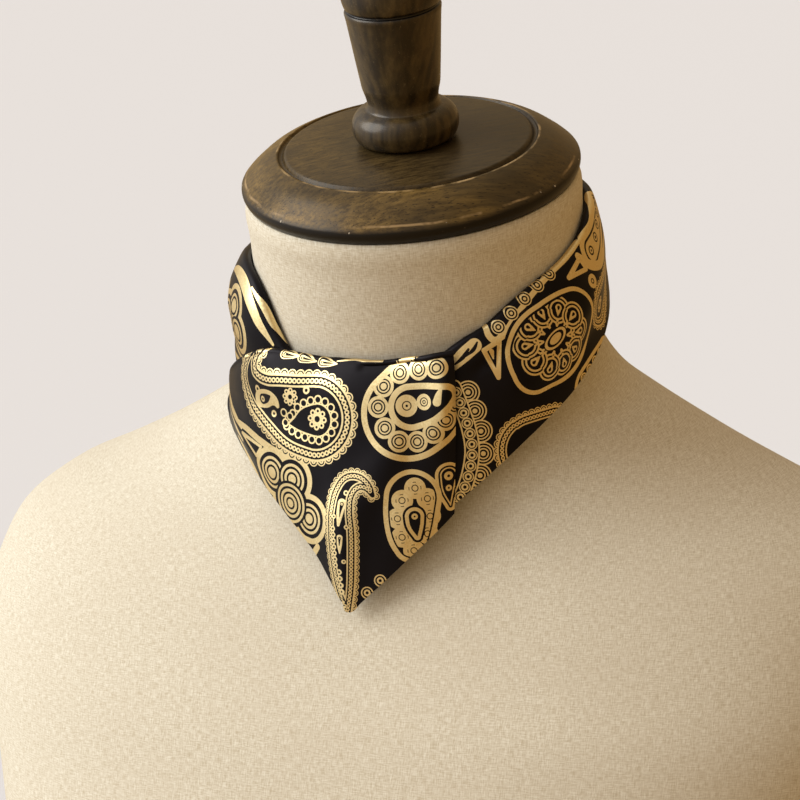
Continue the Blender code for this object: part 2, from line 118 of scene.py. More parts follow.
# The scarf. Each stretch is cut by stations round the neck, one row for each.
# angle   degrees round the neck at the top fold; lean, how far the hem swings from it
#         (the columns below are in millimetres)
# top     down to the top fold; turn, how deep the cloth is folded in behind it
# inner   radius of the folded-in layer; outer, of the outer layer just below the fold
# belly   how far the middle stands proud of a straight line to the hem
# hem     down to the hem; hem_radius, its radius
Station = namedtuple("Station", "angle lean top turn inner outer belly hem hem_radius")
LEFT_STATIONS = table(Station, 2, [
    (-25, 0, 59, 8, 66.3, 69.4, 0, 80, 70),
    (-30, 0, 56.2, 9, 66.3, 69.6, 0, 84, 70.5),
    (-34, 0, 51.2, 10, 66.3, 70, 0.8, 86.5, 71),
    (-38, 0, 44.5, 11, 66.3, 70.6, 1.8, 88, 71.5),
    (-42, 0, 38.5, 12, 66.3, 71, 2.6, 88, 72),
    (-47, 0, 34.2, 12, 66.3, 71.4, 3.2, 88, 72.2),
    (-54, 0, 31.8, 12, 66.1, 71.6, 3.4, 87.5, 72.4),
    (-62, 0, 31, 12, 66.1, 71.6, 3, 86.8, 74),
    (-72, 0, 32, 12, 66.1, 71.4, 2.4, 85, 75),
    (-80, 0, 33.8, 12, 66.1, 71.2, 2.2, 83.5, 75.2),
    (-90, 0, 35, 12, 66.1, 71, 2, 81.5, 74.6),
    (-108, 0, 33.8, 12, 66.1, 70.6, 1.8, 77, 72.8),
    (-130, 0, 31.2, 12, 66.1, 70.2, 1.2, 70, 70.8),
    (-155, 0, 28.8, 12, 66.1, 69.6, 0.2, 63, 70),
    (-180, 0, 29, 10, 66.1, 69.2, 0, 59, 69.6),
    (-192, 0, 34, 8, 66.1, 69.2, 0, 56, 69.5),
])
RIGHT_STATIONS = table(Station, 2, [
    (18, -6, 58, 6, 66.2, 69.2, 0, 110, 86.4),
    (26, -5, 53.5, 7, 66.2, 69.3, -0.4, 109, 86.4),
    (31, -4, 50, 8, 66.2, 70, -0.6, 103.6, 85.1),
    (36, -3, 47.2, 9, 66.2, 70.6, 0, 98.2, 83.8),
    (41, -2, 45.2, 10, 66.2, 71, 0.6, 93, 82.6),
    (46, -1, 42, 11, 66.1, 71.2, 1, 88.2, 81.5),
    (53, 0, 37.8, 12, 66.1, 71.2, 1.4, 83, 80),
    (62, 0, 34.2, 12, 66.1, 71.2, 1.8, 78.2, 78.4),
    (74, 0, 31.2, 12, 66.1, 70.8, 1.8, 71.8, 76.2),
    (86, 0, 27.8, 12, 66.1, 70, 1.6, 66.4, 73.8),
    (96, 0, 24.2, 12, 66.1, 69.5, 1.4, 63.2, 71.8),
    (105, 0, 22.6, 12, 66.1, 69.2, 1.4, 61.2, 70.6),
    (115, 0, 22.2, 12, 66.1, 69.2, 1.4, 60, 70.4),
    (132, 0, 23.2, 12, 66.1, 70, 1.4, 59.4, 71),
    (148, 0, 24.2, 12, 67.6, 72, 1.4, 59.5, 72.6),
    (160, 0, 25, 12, 70.8, 74.6, 1.2, 60, 74.2),
    (176, 0, 25.6, 12, 71.6, 75.4, 1.2, 60.6, 74.6),
    (192, 0, 26.6, 12, 71.8, 75.6, 1.2, 61, 74.8),
    (206, 0, 30, 11, 72.4, 75.8, 1, 60.8, 75),
    (216, 0, 36.6, 9, 73.2, 76.2, 0.6, 59, 75.4),
    (222, 0, 44, 6, 73.8, 76.6, 0, 56, 76),
])
DRAPE_STATIONS = table(Station, 2, [
    (-84, 0, 89.3, 2, 76.5, 79.7, 0, 95, 80.6),
    (-80, 0, 87.3, 3, 76.4, 79.6, 0, 96.8, 81.2),
    (-73, 0, 83.6, 4, 76.2, 79.4, 0, 97.6, 81.6),
    (-65, 0, 78.8, 5, 75.7, 79, 0.2, 97.4, 81.4),
    (-56, 2, 71.6, 7, 75.1, 78.5, 0.6, 97.8, 81.4),
    (-48, 4, 64.6, 8, 74.2, 78.1, 1, 99.8, 82),
    (-41, 5.5, 59, 9, 73.2, 77.3, 1.4, 103.5, 83.8),
    (-35, 7, 55.1, 10, 71.8, 76, 1.6, 108, 85.8),
    (-29, 8.5, 53.6, 11, 70.2, 74.6, 1.8, 113.5, 88.2),
    (-21, 9, 53.8, 12, 67.8, 72.7, 1.8, 121.5, 92.2),
    (-13, 7.5, 54.3, 12, 66.4, 71.6, 1.8, 130.5, 97),
    (-6, 4.5, 54.1, 12, 66.3, 71.4, 2, 139, 101.4),
    (-1.5, 0.8, 53.9, 12, 66.3, 71.4, 2, 141.8, 102.6),
    (4, -1, 53.7, 12, 66.3, 71.4, 2, 136.4, 100.6),
    (10, -2, 53.2, 12, 66.4, 71.6, 1.8, 129.2, 98),
    (16, -3, 51.8, 10, 67.6, 72.4, 1.4, 122, 95.2),
    (21.5, -4, 50.3, 7, 70.8, 74.8, 0.8, 116, 92.8),
    (26, -4.5, 49.2, 5, 72, 76.3, 0.4, 111.2, 90.8),
    (29.3, -5, 49.2, 4, 72, 75, 0, 107.8, 89.2),
])

# Folds, each a soft ridge, or a trough where the height is negative, between two places on the cloth.
Fold = namedtuple("Fold", "angle_a angle_b down_a down_b half_width height")
LEFT_FOLDS = table(Fold, 2, [
    (-42, -85, 55, 40, 4.5, 1.2), (-50, -110, 68, 50, 5, -1.2),
    (-60, -130, 78, 56, 5, 1), (-95, -160, 42, 42, 5, -1),
])
RIGHT_FOLDS = table(Fold, 2, [
    (34, 48, 60, 51, 3, -1.6), (40, 100, 69, 37, 5, 1.2),
    (42, 112, 80, 46, 5.5, -1.3), (52, 128, 78, 54.5, 4.5, 1),
    (118, 190, 32, 36, 5, -1.2), (130, 205, 43, 46, 5, 1.3),
    (140, 200, 53, 56, 4.5, -1),
])
DRAPE_FOLDS = table(Fold, 2, [
    (26.5, 24, 49, 80, 3.2, 2.2), (20.5, 12, 53, 100, 5, -1.4),
    (20, -8, 68, 118, 7, 1.6), (-58, -22, 85, 100, 5, 1.4),
    (-44, -14, 70, 80, 5.5, -1.2), (-2.5, -2.5, 105, 145, 6, 2.2),
    (12, 15, 90, 118, 5.5, 1.4),
])
FOLD_ROUND = 0.075


def fold_height(folds, angle, down):
    """How far the folds lift the cloth at a place; each one dies away at both its ends."""
    total = 0.0
    for fold in folds:
        ax, ay = fold.angle_a * DEGREE * FOLD_ROUND, fold.down_a
        bx, by = fold.angle_b * DEGREE * FOLD_ROUND, fold.down_b
        px, py = angle * DEGREE * FOLD_ROUND, down
        length = math.hypot(bx - ax, by - ay)
        along = ((px - ax) * (bx - ax) + (py - ay) * (by - ay)) / length ** 2
        off = ((px - ax) * (by - ay) - (py - ay) * (bx - ax)) / length
        if -FOLD_FADE < along < 1 + FOLD_FADE:
            fade = math.cos(math.pi * (along - 0.5) / (1 + 2 * FOLD_FADE)) ** 2
            total += fold.height * fade * math.exp(-(off / fold.half_width) ** 2)
    return total


def stretch_grid(stations, folds, columns, leg_steps):
    """Mid-wall points of one stretch: a column for each angle, from the folded-in edge to the hem."""
    read = {name: track(stations, "angle", name) for name in Station._fields[1:]}
    first = min(row.angle for row in stations)
    final = max(row.angle for row in stations)
    grid = []
    for column in range(columns + 1):
        angle = first + (final - first) * column / columns
        at = {name: curve(angle) for name, curve in read.items()}
        round_over = min(FOLD_ROUNDING, (at["outer"] - at["inner"]) / 2)
        middle = at["inner"] + round_over
        spring = at["outer"] - at["inner"] - 2 * round_over
        last_turn = math.pi - math.atan(2 * spring / SPRING_DEPTH)
        start = at["top"] + round_over * (1.0 - math.sin(last_turn))
        spring = at["outer"] - middle + round_over * math.cos(last_turn)
        depth = max(at["turn"], round_over + MM)
        places = []
        for step in range(TURN_STEPS):
            down = at["top"] + depth + (round_over - depth) * step / TURN_STEPS
            places.append((angle, down, at["inner"]))
        for step in range(ROLL_STEPS):
            turn = last_turn * step / ROLL_STEPS
            down = at["top"] + round_over * (1.0 - math.sin(turn))
            places.append((angle, down, middle - round_over * math.cos(turn)))
        for step in range(leg_steps + 1):
            share = (step / leg_steps) ** LEG_CROWDING
            down = start + (at["hem"] - start) * share
            radius = at["outer"] + (at["hem_radius"] - at["outer"]) * share
            radius += at["belly"] * math.sin(math.pi * share)
            radius -= spring * max(0.0, 1.0 - (down - start) / SPRING_DEPTH) ** 2
            swing = angle + at["lean"] * share
            radius += fold_height(folds, swing, down) * min(1.0, share * FOLD_RISE)
            places.append((swing, down, radius))
        grid.append([on_neck(*place) for place in places])
    return grid


def pushed_clear(grid, tree, distance):
    """Moves points out along the nearest face of a solid where they lie too close to it."""
    for _ in range(PUSH_PASSES):
        for column in grid:
            for row, point in enumerate(column):
                spot, normal, _, _ = tree.find_nearest(point)
                height = (point - spot).dot(normal)
                if height < distance and (point - spot).length < PUSH_REACH:
                    column[row] = point + normal * (distance - height)


def lifted_over(grid, trees):
    """Moves points out from the neck's axis where a stretch beneath them needs the room."""
    columns, rows = len(grid), len(grid[0])
    outward = [[None] * rows for _ in grid]
    lift = [[0.0] * rows for _ in grid]
    for i, column in enumerate(grid):
        for j, point in enumerate(column):
            foot = CAP_CENTRE + NECK_AXIS * (point - CAP_CENTRE).dot(NECK_AXIS)
            out = (point - foot).normalized()
            outward[i][j] = out
            for tree in trees:
                spot = tree.ray_cast(foot + out * RAY_START, -out, RAY_START - NECK_RADIUS)[0]
                if spot:
                    wanted = (spot - foot).length + CLOTH / 2 + LAYER_GAP
                    lift[i][j] = max(lift[i][j], wanted - (point - foot).length)
    for step in range(SPREAD_PASSES):
        keep = 1.0 if step == 0 else SPREAD_KEEP
        before = [line[:] for line in lift]
        for i in range(columns):
            for j in range(rows):
                around = [before[k][m] for k in (i - 1, i, i + 1) for m in (j - 1, j, j + 1)
                          if 0 <= k < columns and 0 <= m < rows]
                lift[i][j] = max(before[i][j], keep * max(around))
    for i in range(columns):
        for j in range(rows):
            grid[i][j] = grid[i][j] + outward[i][j] * lift[i][j]


# The cloth as a fine surface: smooth curves through the grid's points, with its flat lengths
Stretch = namedtuple("Stretch", "name stations folds columns leg_steps")
STRETCHES = [
    Stretch("left_wrap", LEFT_STATIONS, LEFT_FOLDS, 38, 11),
    Stretch("right_wrap", RIGHT_STATIONS, RIGHT_FOLDS, 50, 11),
    Stretch("front_drape", DRAPE_STATIONS, DRAPE_FOLDS, 42, 16),
]
COLUMN_PARTS = 4
TURN_PARTS = 3
ROLL_PARTS = 3
LEG_PARTS = 6
FLAT_PASSES = 2500
FLAT_RATE = 0.9
FLAT_TIES = ((1, 0), (0, 1), (1, 1), (1, -1), (2, 0), (2, 1), (2, -1), (0, 2))
CLOTH_ROUND = 0.073
FAR_TIE = 0.6
EDGE_ROWS = 3
EDGE_PASSES = 4


def node_tree(name):
    """The faces of a solid, ready to be measured against."""
    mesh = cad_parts[name].data
    return BVHTree.FromPolygons([v.co[:] for v in mesh.vertices], [f.vertices[:] for f in mesh.polygons])


def refined(points, parts):
    """More points along a grid's first axis, on smooth curves; parts is how many each gap becomes."""
    gap = np.maximum(np.linalg.norm(np.diff(points[..., :3], axis=0), axis=-1), 1e-9)[..., None]
    slope = np.diff(points, axis=0) / gap
    tangent = np.empty_like(points)
    tangent[1:-1] = (gap[1:] * slope[:-1] + gap[:-1] * slope[1:]) / (gap[1:] + gap[:-1])
    tangent[0] = 1.5 * slope[0] - 0.5 * tangent[1]
    tangent[-1] = 1.5 * slope[-1] - 0.5 * tangent[-2]
    made = []
    for i, count in enumerate(parts):
        for k in range(count):
            made.append(eased(k / count, gap[i], points[i], points[i + 1], tangent[i], tangent[i + 1]))
    made.append(points[-1])
    return np.array(made)


def laid_flat(points):
    """Flat places in millimetres of a grid of points on cloth, keeping the lengths between neighbours.

    The rows that roll over the top edge and in behind it carry straight on from the rest.
    """
    run = np.zeros(points.shape[:2])
    run[:, 1:] = np.cumsum(np.linalg.norm(np.diff(points, axis=1), axis=2), axis=1)
    first = TURN_STEPS + ROLL_STEPS
    laid = points[:, first:]
    columns, rows = laid.shape[:2]
    centre = np.array(CAP_CENTRE)
    axis, front, side = (np.array(v) for v in (NECK_AXIS, NECK_FRONT, NECK_SIDE))
    spread = laid[:, 0] - centre
    angle = np.unwrap(np.arctan2(spread @ side, spread @ front))
    if angle[0] > math.pi / 2:
        angle -= math.tau
    flat = np.empty((columns, rows, 2))
    flat[..., 0] = angle[:, None] * CLOTH_ROUND
    flat[..., 1] = (-(spread @ axis))[:, None] + run[:, first:] - run[:, first:first + 1]
    total = np.zeros((columns, rows))
    ties = []
    for i, j in FLAT_TIES:
        one = (slice(0, columns - i), slice(max(0, -j), rows - max(0, j)))
        two = (slice(i, columns), slice(max(0, j), rows - max(0, -j)))
        weight = 1.0 if i + abs(j) == 1 else FAR_TIE
        total[one] += weight
        total[two] += weight
        ties.append((one, two, np.linalg.norm(laid[two] - laid[one], axis=2), weight))
    for _ in range(FLAT_PASSES):
        pull = np.zeros_like(flat)
        for one, two, length, weight in ties:
            way = flat[two] - flat[one]
            now = np.linalg.norm(way, axis=2)
            step = way * ((now - length) / np.maximum(now, 1e-9) * weight)[..., None]
            pull[one] += step
            pull[two] -= step
        flat += pull / total[..., None] * FLAT_RATE
    way = flat[:, 0] - flat[:, EDGE_ROWS]
    for _ in range(EDGE_PASSES):
        way[1:-1] = (way[:-2] + 2 * way[1:-1] + way[2:]) / 4
    way = unit(way)
    over = (run[:, first:first + 1] - run[:, :first])[..., None]
    return np.concatenate([flat[:, :1] + way[:, None] * over, flat], axis=1) / MM


Surface = namedtuple("Surface", "place normal flat")


def fine_surface(stretch, trees, form_tree):
    grid = stretch_grid(stretch.stations, stretch.folds, stretch.columns, stretch.leg_steps)
    lifted_over(grid, trees)
    pushed_clear(grid, form_tree, CLOTH / 2 + GAP)
    points = np.array([[tuple(p) for p in column] for column in grid])
    both = np.concatenate([points, laid_flat(points)], axis=2)
    both = refined(both, [COLUMN_PARTS] * stretch.columns)
    parts = [TURN_PARTS] * TURN_STEPS + [ROLL_PARTS] * ROLL_STEPS + [LEG_PARTS] * stretch.leg_steps
    both = refined(both.transpose(1, 0, 2), parts).transpose(1, 0, 2)
    place = both[..., :3]
    normal = unit(np.cross(np.gradient(place, axis=1), np.gradient(place, axis=0)))
    return Surface(place, normal, both[..., 3:])


form_tree = node_tree("form_body")
surfaces = {}
for stretch in STRETCHES:
    beneath = [node_tree(other.name) for other in STRETCHES[:len(surfaces)]]
    surfaces[stretch.name] = fine_surface(stretch, beneath, form_tree)


# The print. Ink is a height over the flat cloth in millimetres, and foil lies where it is above nothing.
PITCH = 0.16
MARGIN = 2.0
SMOOTH = 0.014
ROSETTE_BEADS = 8
SHORTEST_LOOP = 6


def curve_through(rows, steps):
    """Points on a smooth curve through a short table, its columns all blended alike."""
    rows = np.array(rows, dtype=float)
    gap = np.maximum(np.linalg.norm(np.diff(rows[:, :2], axis=0), axis=1), 1e-6)[:, None]
    slope = np.diff(rows, axis=0) / gap
    tangent = np.empty_like(rows)
    tangent[1:-1] = (gap[1:] * slope[:-1] + gap[:-1] * slope[1:]) / (gap[1:] + gap[:-1])
    tangent[0] = slope[0]
    tangent[-1] = slope[-1]
    t = np.linspace(0.0, 1.0, steps, endpoint=False)[:, None]
    made = [eased(t, gap[i], rows[i], rows[i + 1], tangent[i], tangent[i + 1]) for i in range(len(rows) - 1)]
    made.append(rows[-1:])
    return np.concatenate(made)


def lengths(path):
    """How far along a line each of its points is."""
    return np.concatenate([[0.0], np.cumsum(np.linalg.norm(np.diff(path, axis=0), axis=1))])


def read_along(path, run, at):
    return np.stack([np.interp(at, run, path[:, k]) for k in (0, 1)], axis=1)


class Patch:
    """A window of the print, with distances in millimetres from a shape drawn in it."""

    def __init__(self, page, low, high):
        self.page = page
        first = np.clip(np.floor((np.array(low) - page.low) / PITCH).astype(int), 0, None)
        last = np.ceil((np.array(high) - page.low) / PITCH).astype(int) + 1
        self.where = (slice(first[1], max(last[1], first[1])), slice(first[0], max(last[0], first[0])))
        self.x = page.x[self.where]
        self.y = page.y[self.where]
        self.d = np.full(self.x.shape, 1e3)

    def foil(self, height):
        ink = self.page.ink[self.where]
        np.maximum(ink, height, out=ink)

    def bare(self, height):
        ink = self.page.ink[self.where]
        np.minimum(ink, -height, out=ink)

    def fill(self, level=0.0):
        """Foil up to a distance; clear bares that, and line and gap do the same close to the distance."""
        self.foil(level - self.d)

    def clear(self, level=0.0):
        self.bare(level - self.d)

    def line(self, level, half):
        self.foil(half - np.abs(self.d - level))

    def gap(self, level, half):
        self.bare(half - np.abs(self.d - level))

    def moat(self, outer, inner):
        """Bare between two distances."""
        self.bare(np.minimum(outer - self.d, self.d - inner))


class Print:
    """The ink over one stretch of cloth."""

    def __init__(self, flat):
        corners = flat.reshape(-1, 2)
        self.low = corners.min(axis=0) - MARGIN
        count = np.ceil((corners.max(axis=0) + MARGIN - self.low) / PITCH).astype(int) + 1
        across = self.low[0] + PITCH * np.arange(count[0])
        down = self.low[1] + PITCH * np.arange(count[1])
        self.x, self.y = np.meshgrid(across, down)
        self.ink = np.full(self.x.shape, -1.0)

    def spot(self, x, y, reach):
        """A window round a place, with distances from the place."""
        spot = Patch(self, (x - reach, y - reach), (x + reach, y + reach))
        spot.d = np.hypot(spot.x - x, spot.y - y)
        return spot

    def discs(self, places, radius, bare=False):
        for x, y in places:
            spot = self.spot(x, y, radius + 0.5)
            if bare:
                spot.clear(radius)
            else:
                spot.fill(radius)

    def target(self, x, y, *radii):
        """Discs on one centre, foil and bare by turns from the outside in."""
        for k, radius in enumerate(radii):
            self.discs([(x, y)], radius, bare=k % 2 == 1)

    def rosette(self, x, y, reach=2.5, bead=0.98, hole=0.42, centre=1.75, centre_hole=0.92):
        """A ring with smaller rings round it."""
        turns = [math.tau * k / ROSETTE_BEADS for k in range(ROSETTE_BEADS)]
        beads = [(x + reach * math.cos(turn), y + reach * math.sin(turn)) for turn in turns]
        self.discs(beads, bead)
        self.discs(beads, hole, bare=True)
        self.target(x, y, centre, centre_hole)

    def shape(self, rows, margin, steps=9):
        """A form swept by circles: rows hold a centre and a radius. Distances from its edge grow outwards."""
        swept = curve_through(rows, steps)
        reach = (np.maximum(swept[:, 2], 0.05) + margin)[:, None]
        patch = Patch(self, (swept[:, :2] - reach).min(axis=0), (swept[:, :2] + reach).max(axis=0))
        for (ax, ay, ar), (bx, by, br) in zip(swept[:-1], swept[1:]):
            length = max(math.hypot(bx - ax, by - ay), 1e-6)
            along = ((patch.x - ax) * (bx - ax) + (patch.y - ay) * (by - ay)) / length ** 2
            along = np.clip(along, 0.0, 1.0)
            off = np.hypot(patch.x - ax - (bx - ax) * along, patch.y - ay - (by - ay) * along)
            np.minimum(patch.d, off - (ar + (br - ar) * along), out=patch.d)
        return patch

    def around(self, patch, level, pitch):
        """Places at an even pitch along the line where a patch's distance has one value."""
        field = level - patch.d
        field[0, :] = field[-1, :] = field[:, 0] = field[:, -1] = -1.0
        loops = outlines(field, (patch.x[0, 0], patch.y[0, 0]))
        if not loops:
            return np.zeros((0, 2))
        loop = max(loops, key=len)
        closed = np.concatenate([loop, loop[:1]])
        run = lengths(closed)
        count = max(3, round(run[-1] / pitch))
        return read_along(closed, run, np.arange(count) / count * run[-1])


def outlines(field, corner):
    """Closed lines where a field changes sign, as points in millimetres."""
    up = field > 0
    rows, columns = field.shape
    number = -np.ones((2, rows, columns), dtype=np.int64)
    points = []
    total = 0
    every, front, back = slice(None), slice(1, None), slice(None, -1)
    for way, ahead, here in ((0, (every, front), (every, back)), (1, (front, every), (back, every))):
        i, j = np.nonzero(up[here] != up[ahead])
        a = field[here][i, j]
        share = a / (a - field[ahead][i, j])
        x = j + (share if way == 0 else 0.0)
        y = i + (share if way == 1 else 0.0)
        number[way, i, j] = total + np.arange(len(i))
        points.append(np.stack([corner[0] + x * PITCH, corner[1] + y * PITCH], axis=1))
        total += len(i)
    points = np.concatenate(points)
    across, down = number
    sides = np.stack([across[:-1, :-1], down[:-1, 1:], across[1:, :-1], down[:-1, :-1]], axis=-1)
    crossed = (sides >= 0).sum(axis=-1)
    i, j = np.nonzero(crossed == 4)
    middle = (field[i, j] + field[i + 1, j] + field[i, j + 1] + field[i + 1, j + 1]) > 0
    joined = (middle == up[i, j])[:, None]
    found = sides[crossed == 4]
    pairs = np.concatenate([np.sort(sides[crossed == 2], axis=1)[:, 2:],
                            np.where(joined, found[:, [0, 1]], found[:, [0, 3]]),
                            np.where(joined, found[:, [2, 3]], found[:, [1, 2]])])
    both = np.concatenate([pairs, pairs[:, ::-1]])
    both = both[np.argsort(both[:, 0], kind="stable")]
    begin = np.concatenate([[0], np.cumsum(np.bincount(both[:, 0], minlength=total))]).tolist()
    other = both[:, 1].tolist()
    seen = [False] * total
    loops = []
    for start in range(total):
        if seen[start]:
            continue
        line = []
        here = start
        while here is not None:
            seen[here] = True
            line.append(here)
            here = next((k for k in other[begin[here]:begin[here + 1]] if not seen[k]), None)
        if len(line) >= SHORTEST_LOOP:
            loops.append(points[line])
    return loops


def simplified(loop):
    """A closed line with fewer points, none further than SMOOTH from where it was."""
    far = int(np.argmax(((loop - loop[0]) ** 2).sum(axis=1)))
    if far == 0:
        return loop[:0]
    closed = np.concatenate([loop, loop[:1]])
    keep = np.zeros(len(closed), dtype=bool)
    keep[[0, far, len(loop)]] = True
    waiting = [(0, far), (far, len(loop))]
    while waiting:
        a, b = waiting.pop()
        if b - a < 2:
            continue
        start, way = closed[a], closed[b] - closed[a]
        length = math.hypot(way[0], way[1])
        inner = closed[a + 1:b] - start
        if length < 1e-9:
            off = np.hypot(inner[:, 0], inner[:, 1])
        else:
            off = np.abs(inner[:, 0] * way[1] - inner[:, 1] * way[0]) / length
        k = int(np.argmax(off))
        if off[k] > SMOOTH:
            k += a + 1
            keep[k] = True
            waiting.extend([(a, k), (k, b)])
    return closed[:-1][keep[:-1]]


def linked(name, data):
    """A new object in the scene."""
    thing = bpy.data.objects.new(name, data)
    bpy.context.scene.collection.objects.link(thing)
    return thing


# The printed sheet, cut along the edges of its foil and given a thin wall
SHEET = 0.0007
RIM_TURNS = (35.0, 90.0, 145.0)
CLEAR_OF_INK = 0.30
BACK_STEP = 4
TINY_AREA = 1e-7


def flat_mesh(surface):
    """The surface's own grid as triangles laid flat, to find where a flat place lies on the cloth."""
    columns, rows = surface.place.shape[:2]
    index = np.arange(columns * rows).reshape(columns, rows)
    a, b, c, d = index[:-1, :-1], index[1:, :-1], index[1:, 1:], index[:-1, 1:]
    faces = np.concatenate([np.stack(k, axis=-1).reshape(-1, 3) for k in ((a, b, c), (a, c, d))])
    flat = surface.flat.reshape(-1, 2)
    tree = BVHTree.FromPolygons([(x, y, 0.0) for x, y in flat.tolist()], faces.tolist())
    return tree, faces


def onto_cloth(surface, tree, faces, spots):
    """The places and directions on the cloth of flat spots."""
    hit = [tree.find_nearest((x, y, 0.0)) for x, y in spots.tolist()]
    face = faces[np.array([one[2] for one in hit])]
    flat = surface.flat.reshape(-1, 2)
    a, b, c = (flat[face[:, k]] for k in range(3))
    spot = np.array([one[0][:2] for one in hit])
    v0, v1, v2 = b - a, c - a, spot - a
    area = v0[:, 0] * v1[:, 1] - v1[:, 0] * v0[:, 1]
    area = np.where(np.abs(area) < 1e-12, 1e-12, area)
    s = (v2[:, 0] * v1[:, 1] - v1[:, 0] * v2[:, 1]) / area
    t = (v0[:, 0] * v2[:, 1] - v2[:, 0] * v0[:, 1]) / area
    weight = np.stack([1 - s - t, s, t], axis=1)[..., None]
    place = (surface.place.reshape(-1, 3)[face] * weight).sum(axis=1)
    normal = (surface.normal.reshape(-1, 3)[face] * weight).sum(axis=1)
    return place, unit(normal)


def boundary_of(faces):
    """The vertices round the edge of a sheet of triangles, in order."""
    ahead = {}
    pairs = set()
    for a, b, c in faces:
        pairs.update(((a, b), (b, c), (c, a)))
    for a, b in pairs:
        if (b, a) not in pairs:
            ahead[a] = b
    start = next(iter(ahead))
    line = [start]
    while ahead[line[-1]] != start:
        line.append(ahead[line[-1]])
    return line


def ink_at(page, spots):
    at = (spots - page.low) / PITCH
    cell = np.floor(at).astype(int)
    cell = np.clip(cell, 0, [page.ink.shape[1] - 2, page.ink.shape[0] - 2])
    s, t = (at - cell).T
    j, i = cell.T
    ink = page.ink
    return ((ink[i, j] * (1 - s) + ink[i, j + 1] * s) * (1 - t)
            + (ink[i + 1, j] * (1 - s) + ink[i + 1, j + 1] * s) * t)


def outline_of(surface):
    flat = surface.flat
    return np.concatenate([flat[:-1, 0], flat[-1, :-1], flat[:0:-1, -1], flat[0, :0:-1]])


def closed_line(index):
    return np.stack([index, np.roll(index, -1)], axis=1)


def triangles(spots, lines, mode, near):
    """Flat spots joined by triangles that keep to some lines, with twice each one's area and its sign."""
    spots = [Vector(p) for p in spots.tolist()]
    made, _, faces, _, _, _ = delaunay_2d_cdt(spots, lines.tolist(), [], mode, near)
    made = np.array([tuple(p) for p in made])
    faces = np.array(faces)
    a, b, c = (made[faces[:, k]] for k in range(3))
    return made, faces, (b[:, 0] - a[:, 0]) * (c[:, 1] - a[:, 1]) - (c[:, 0] - a[:, 0]) * (b[:, 1] - a[:, 1])


def cut_sheet(surface, page):
    """Flat spots, triangles and which of them are foil, cut along the ink's edges."""
    tree, grid_faces = flat_mesh(surface)
    edge = outline_of(surface)
    spots = [edge]
    lines = [closed_line(np.arange(len(edge)))]
    total = len(edge)
    for loop in outlines(page.ink, page.low):
        loop = simplified(loop)
        if len(loop) < 3:
            continue
        spots.append(loop)
        lines.append(closed_line(total + np.arange(len(loop))))
        total += len(loop)
    inner = surface.flat[1:-1, 1:-1].reshape(-1, 2)
    clear = np.abs(ink_at(page, inner)) > CLEAR_OF_INK
    spots.append(inner[clear])
    made, faces, area = triangles(np.concatenate(spots), np.concatenate(lines), 0, 1e-5)
    middle = made[faces].mean(axis=1)
    below = (0.0, 0.0, -1.0)
    inside = np.array([tree.ray_cast((x, y, 1.0), below)[0] is not None for x, y in middle.tolist()])
    kept = inside & (np.abs(area) > TINY_AREA)
    faces = np.where(area[kept, None] > 0, faces[kept, ::-1], faces[kept])
    used = np.unique(faces)
    renumber = np.full(len(made), -1)
    renumber[used] = np.arange(len(used))
    faces = renumber[faces]
    made = made[used]
    foil = ink_at(page, made[faces].mean(axis=1)) > 0
    return made, faces, foil, tree, grid_faces


